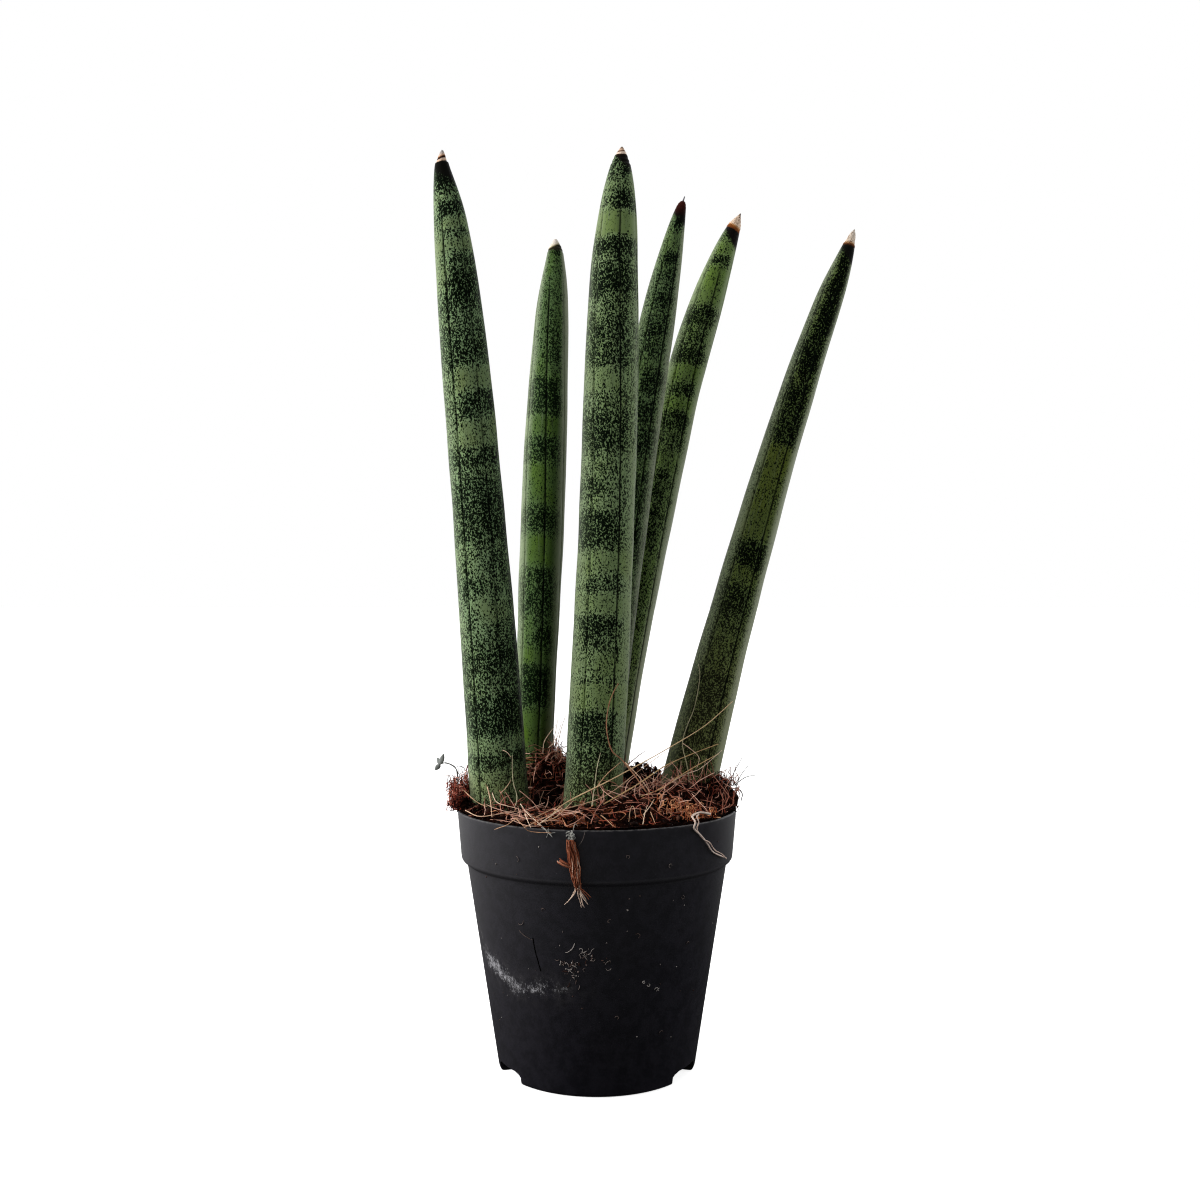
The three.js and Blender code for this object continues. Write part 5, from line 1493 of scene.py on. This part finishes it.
crumb_draw = np.random.default_rng(3)
tangle = [(*spot, crumb_draw.uniform(0, 360), crumb_draw.uniform(0.7, 3.0), crumb_draw.normal(0, 0.5),
           crumb_draw.uniform(0.07, 0.16), crumb_draw.uniform(-0.1, 1.15))
          for spot in in_knots(crumb_draw)]
stuck_finish = fibre_finish("stuck_fibre", (0.0, (0.05, 0.022, 0.016)), (0.5, (0.16, 0.13, 0.12)),
                            (1.0, (0.40, 0.37, 0.35)))
make_threads("stuck_hairs", *zip(*[stuck_fibre(*fibre) for fibre in STUCK + tangle]), 5, stuck_finish,
             "dry_root")

scratch_path = smooth_line([on_wall(*spot, 0.02) for spot in SCRATCH], SCRATCH_STEPS)
points, faces, _ = tubes(scratch_path[None], np.full((1, SCRATCH_STEPS), 0.24), 6, np.array([0.0]))
scratch_finish, scratch_tree = new_finish("scratch")
close_finish(scratch_tree, {
    "Base Color": (0.001, 0.001, 0.001),
    "Roughness": 0.9,
    "Specular IOR Level": 0.1,
})
make_piece("scratch", points, faces, scratch_finish, "pot_plastic")

spots = [on_wall(*spot, 0.1) for spot in in_knots(crumb_draw)]
spots += [on_wall(crumb_draw.uniform(-160, -20), crumb_draw.uniform(20, 105), 0)
          for _ in range(LOOSE_CRUMBS)]
make_crumbs("stuck_crumbs", crumb_draw, np.array(spots), crumb_draw.uniform(0.14, 0.42, len(spots)),
            stuck_finish, "potting_mix")


# ------------------------------------------------------------------ floor, light and camera
# A plain pale floor under soft daylight from a window at the left, and a level camera in front.

FLOOR_REACH, FLOOR_LEVEL = 30000, -0.2  # mm, from the middle to each side and just under the pot
WHITE, FLOOR_GREY = (1.0, 1.0, 1.0), (0.8, 0.8, 0.8)

floor_corners = [(x * FLOOR_REACH, y * FLOOR_REACH, FLOOR_LEVEL)
                 for x, y in ((-1, -1), (1, -1), (1, 1), (-1, 1))]
floor = add_object("floor", floor_corners, [(0, 1, 2, 3)])

# Seen directly the floor is plain. What it throws back at the plant is brighter at the left and behind.
floor_material, tree = new_finish("pale_floor")
place = node(tree, "ShaderNodeTexCoord", {}, {}, output=3)
to_right, to_back = place.part(0), place.part(1)
pool = (0.02 + (-to_right).rise(0.05, 0.60) * 0.50 + to_back.rise(0.05, 0.70) * 0.50
        + (-to_back).rise(0.06, 0.20) * 0.09 + to_right.rise(0.05, 0.4) * 0.06)
pale = node(tree, "ShaderNodeBsdfPrincipled", {}, {
    "Base Color": FLOOR_GREY, "Roughness": 0.9, "Specular IOR Level": 0.0,
    "Emission Color": WHITE, "Emission Strength": 0.78,
})
bounce = node(tree, "ShaderNodeEmission", {}, {"Strength": pool})
seen = node(tree, "ShaderNodeLightPath", {}, {})
both = node(tree, "ShaderNodeMixShader", {}, {0: seen, 1: bounce, 2: pale})
node(tree, "ShaderNodeOutputMaterial", {}, {"Surface": both})
floor.data.materials.append(floor_material)

# The room is white to the camera. It lights the plant from the left and from behind.
world = bpy.data.worlds.new("studio")
bpy.context.scene.world = world
world.use_nodes = True
tree = world.node_tree
tree.nodes.clear()
way = node(tree, "ShaderNodeTexCoord", {}, {}, output=0)
sideways = way.part(0)
glow = (0.06 + (-sideways).rise(0.1, 1.0) * 0.74 + way.part(1).rise(0.0, 0.8) * 1.15
        + sideways.rise(0.1, 1.0) * 0.16 + way.part(2).rise(0.3, 1.0) * 0.20)
dim = node(tree, "ShaderNodeBackground", {}, {"Color": WHITE, "Strength": glow})
white = node(tree, "ShaderNodeBackground", {}, {"Color": WHITE, "Strength": 1.0})
seen = node(tree, "ShaderNodeLightPath", {}, {})
both = node(tree, "ShaderNodeMixShader", {}, {0: seen, 1: dim, 2: white})
node(tree, "ShaderNodeOutputWorld", {}, {"Surface": both})


def add_softbox(name, place, width, height, power, colour):
    """A soft lamp aimed at the middle of the plant. Sizes are in metres, power in watts."""
    light = bpy.data.lights.new(name, "AREA")
    light.shape, light.size, light.size_y = "RECTANGLE", width, height
    light.energy, light.color = power, colour
    lamp = bpy.data.objects.new(name, light)
    bpy.context.scene.collection.objects.link(lamp)
    lamp.location = place
    lamp.rotation_euler = (PLANT_MIDDLE - Vector(place)).to_track_quat("-Z", "Y").to_euler()
    lamp.visible_glossy = False


PLANT_MIDDLE = Vector((0, 0, 0.22))
add_softbox("window", (-1.2, -0.30, 0.65), 0.9, 1.1, 22, (1.0, 0.98, 0.95))
add_softbox("fill", (1.2, -0.15, 0.45), 0.9, 0.9, 8, (0.98, 1.0, 1.0))

# The camera looks level at the plant from a little over half a metre. Its lens is in mm, the rest in m.
CAMERA_PLACE, LENS, FILM_WIDTH = (0.0013, -0.550, 0.199), 38.13, 36
NEAREST, FARTHEST = 0.01, 50
camera_data = bpy.data.cameras.new("camera")
camera_data.sensor_width, camera_data.lens = FILM_WIDTH, LENS
camera_data.clip_start, camera_data.clip_end = NEAREST, FARTHEST
camera = bpy.data.objects.new("camera", camera_data)
camera.location = CAMERA_PLACE
camera.rotation_euler = (math.radians(90), 0, 0)
bpy.context.scene.collection.objects.link(camera)
bpy.context.scene.camera = camera
bpy.context.scene.view_settings.view_transform = "Standard"
bpy.context.scene.cycles.filter_width = 1.15
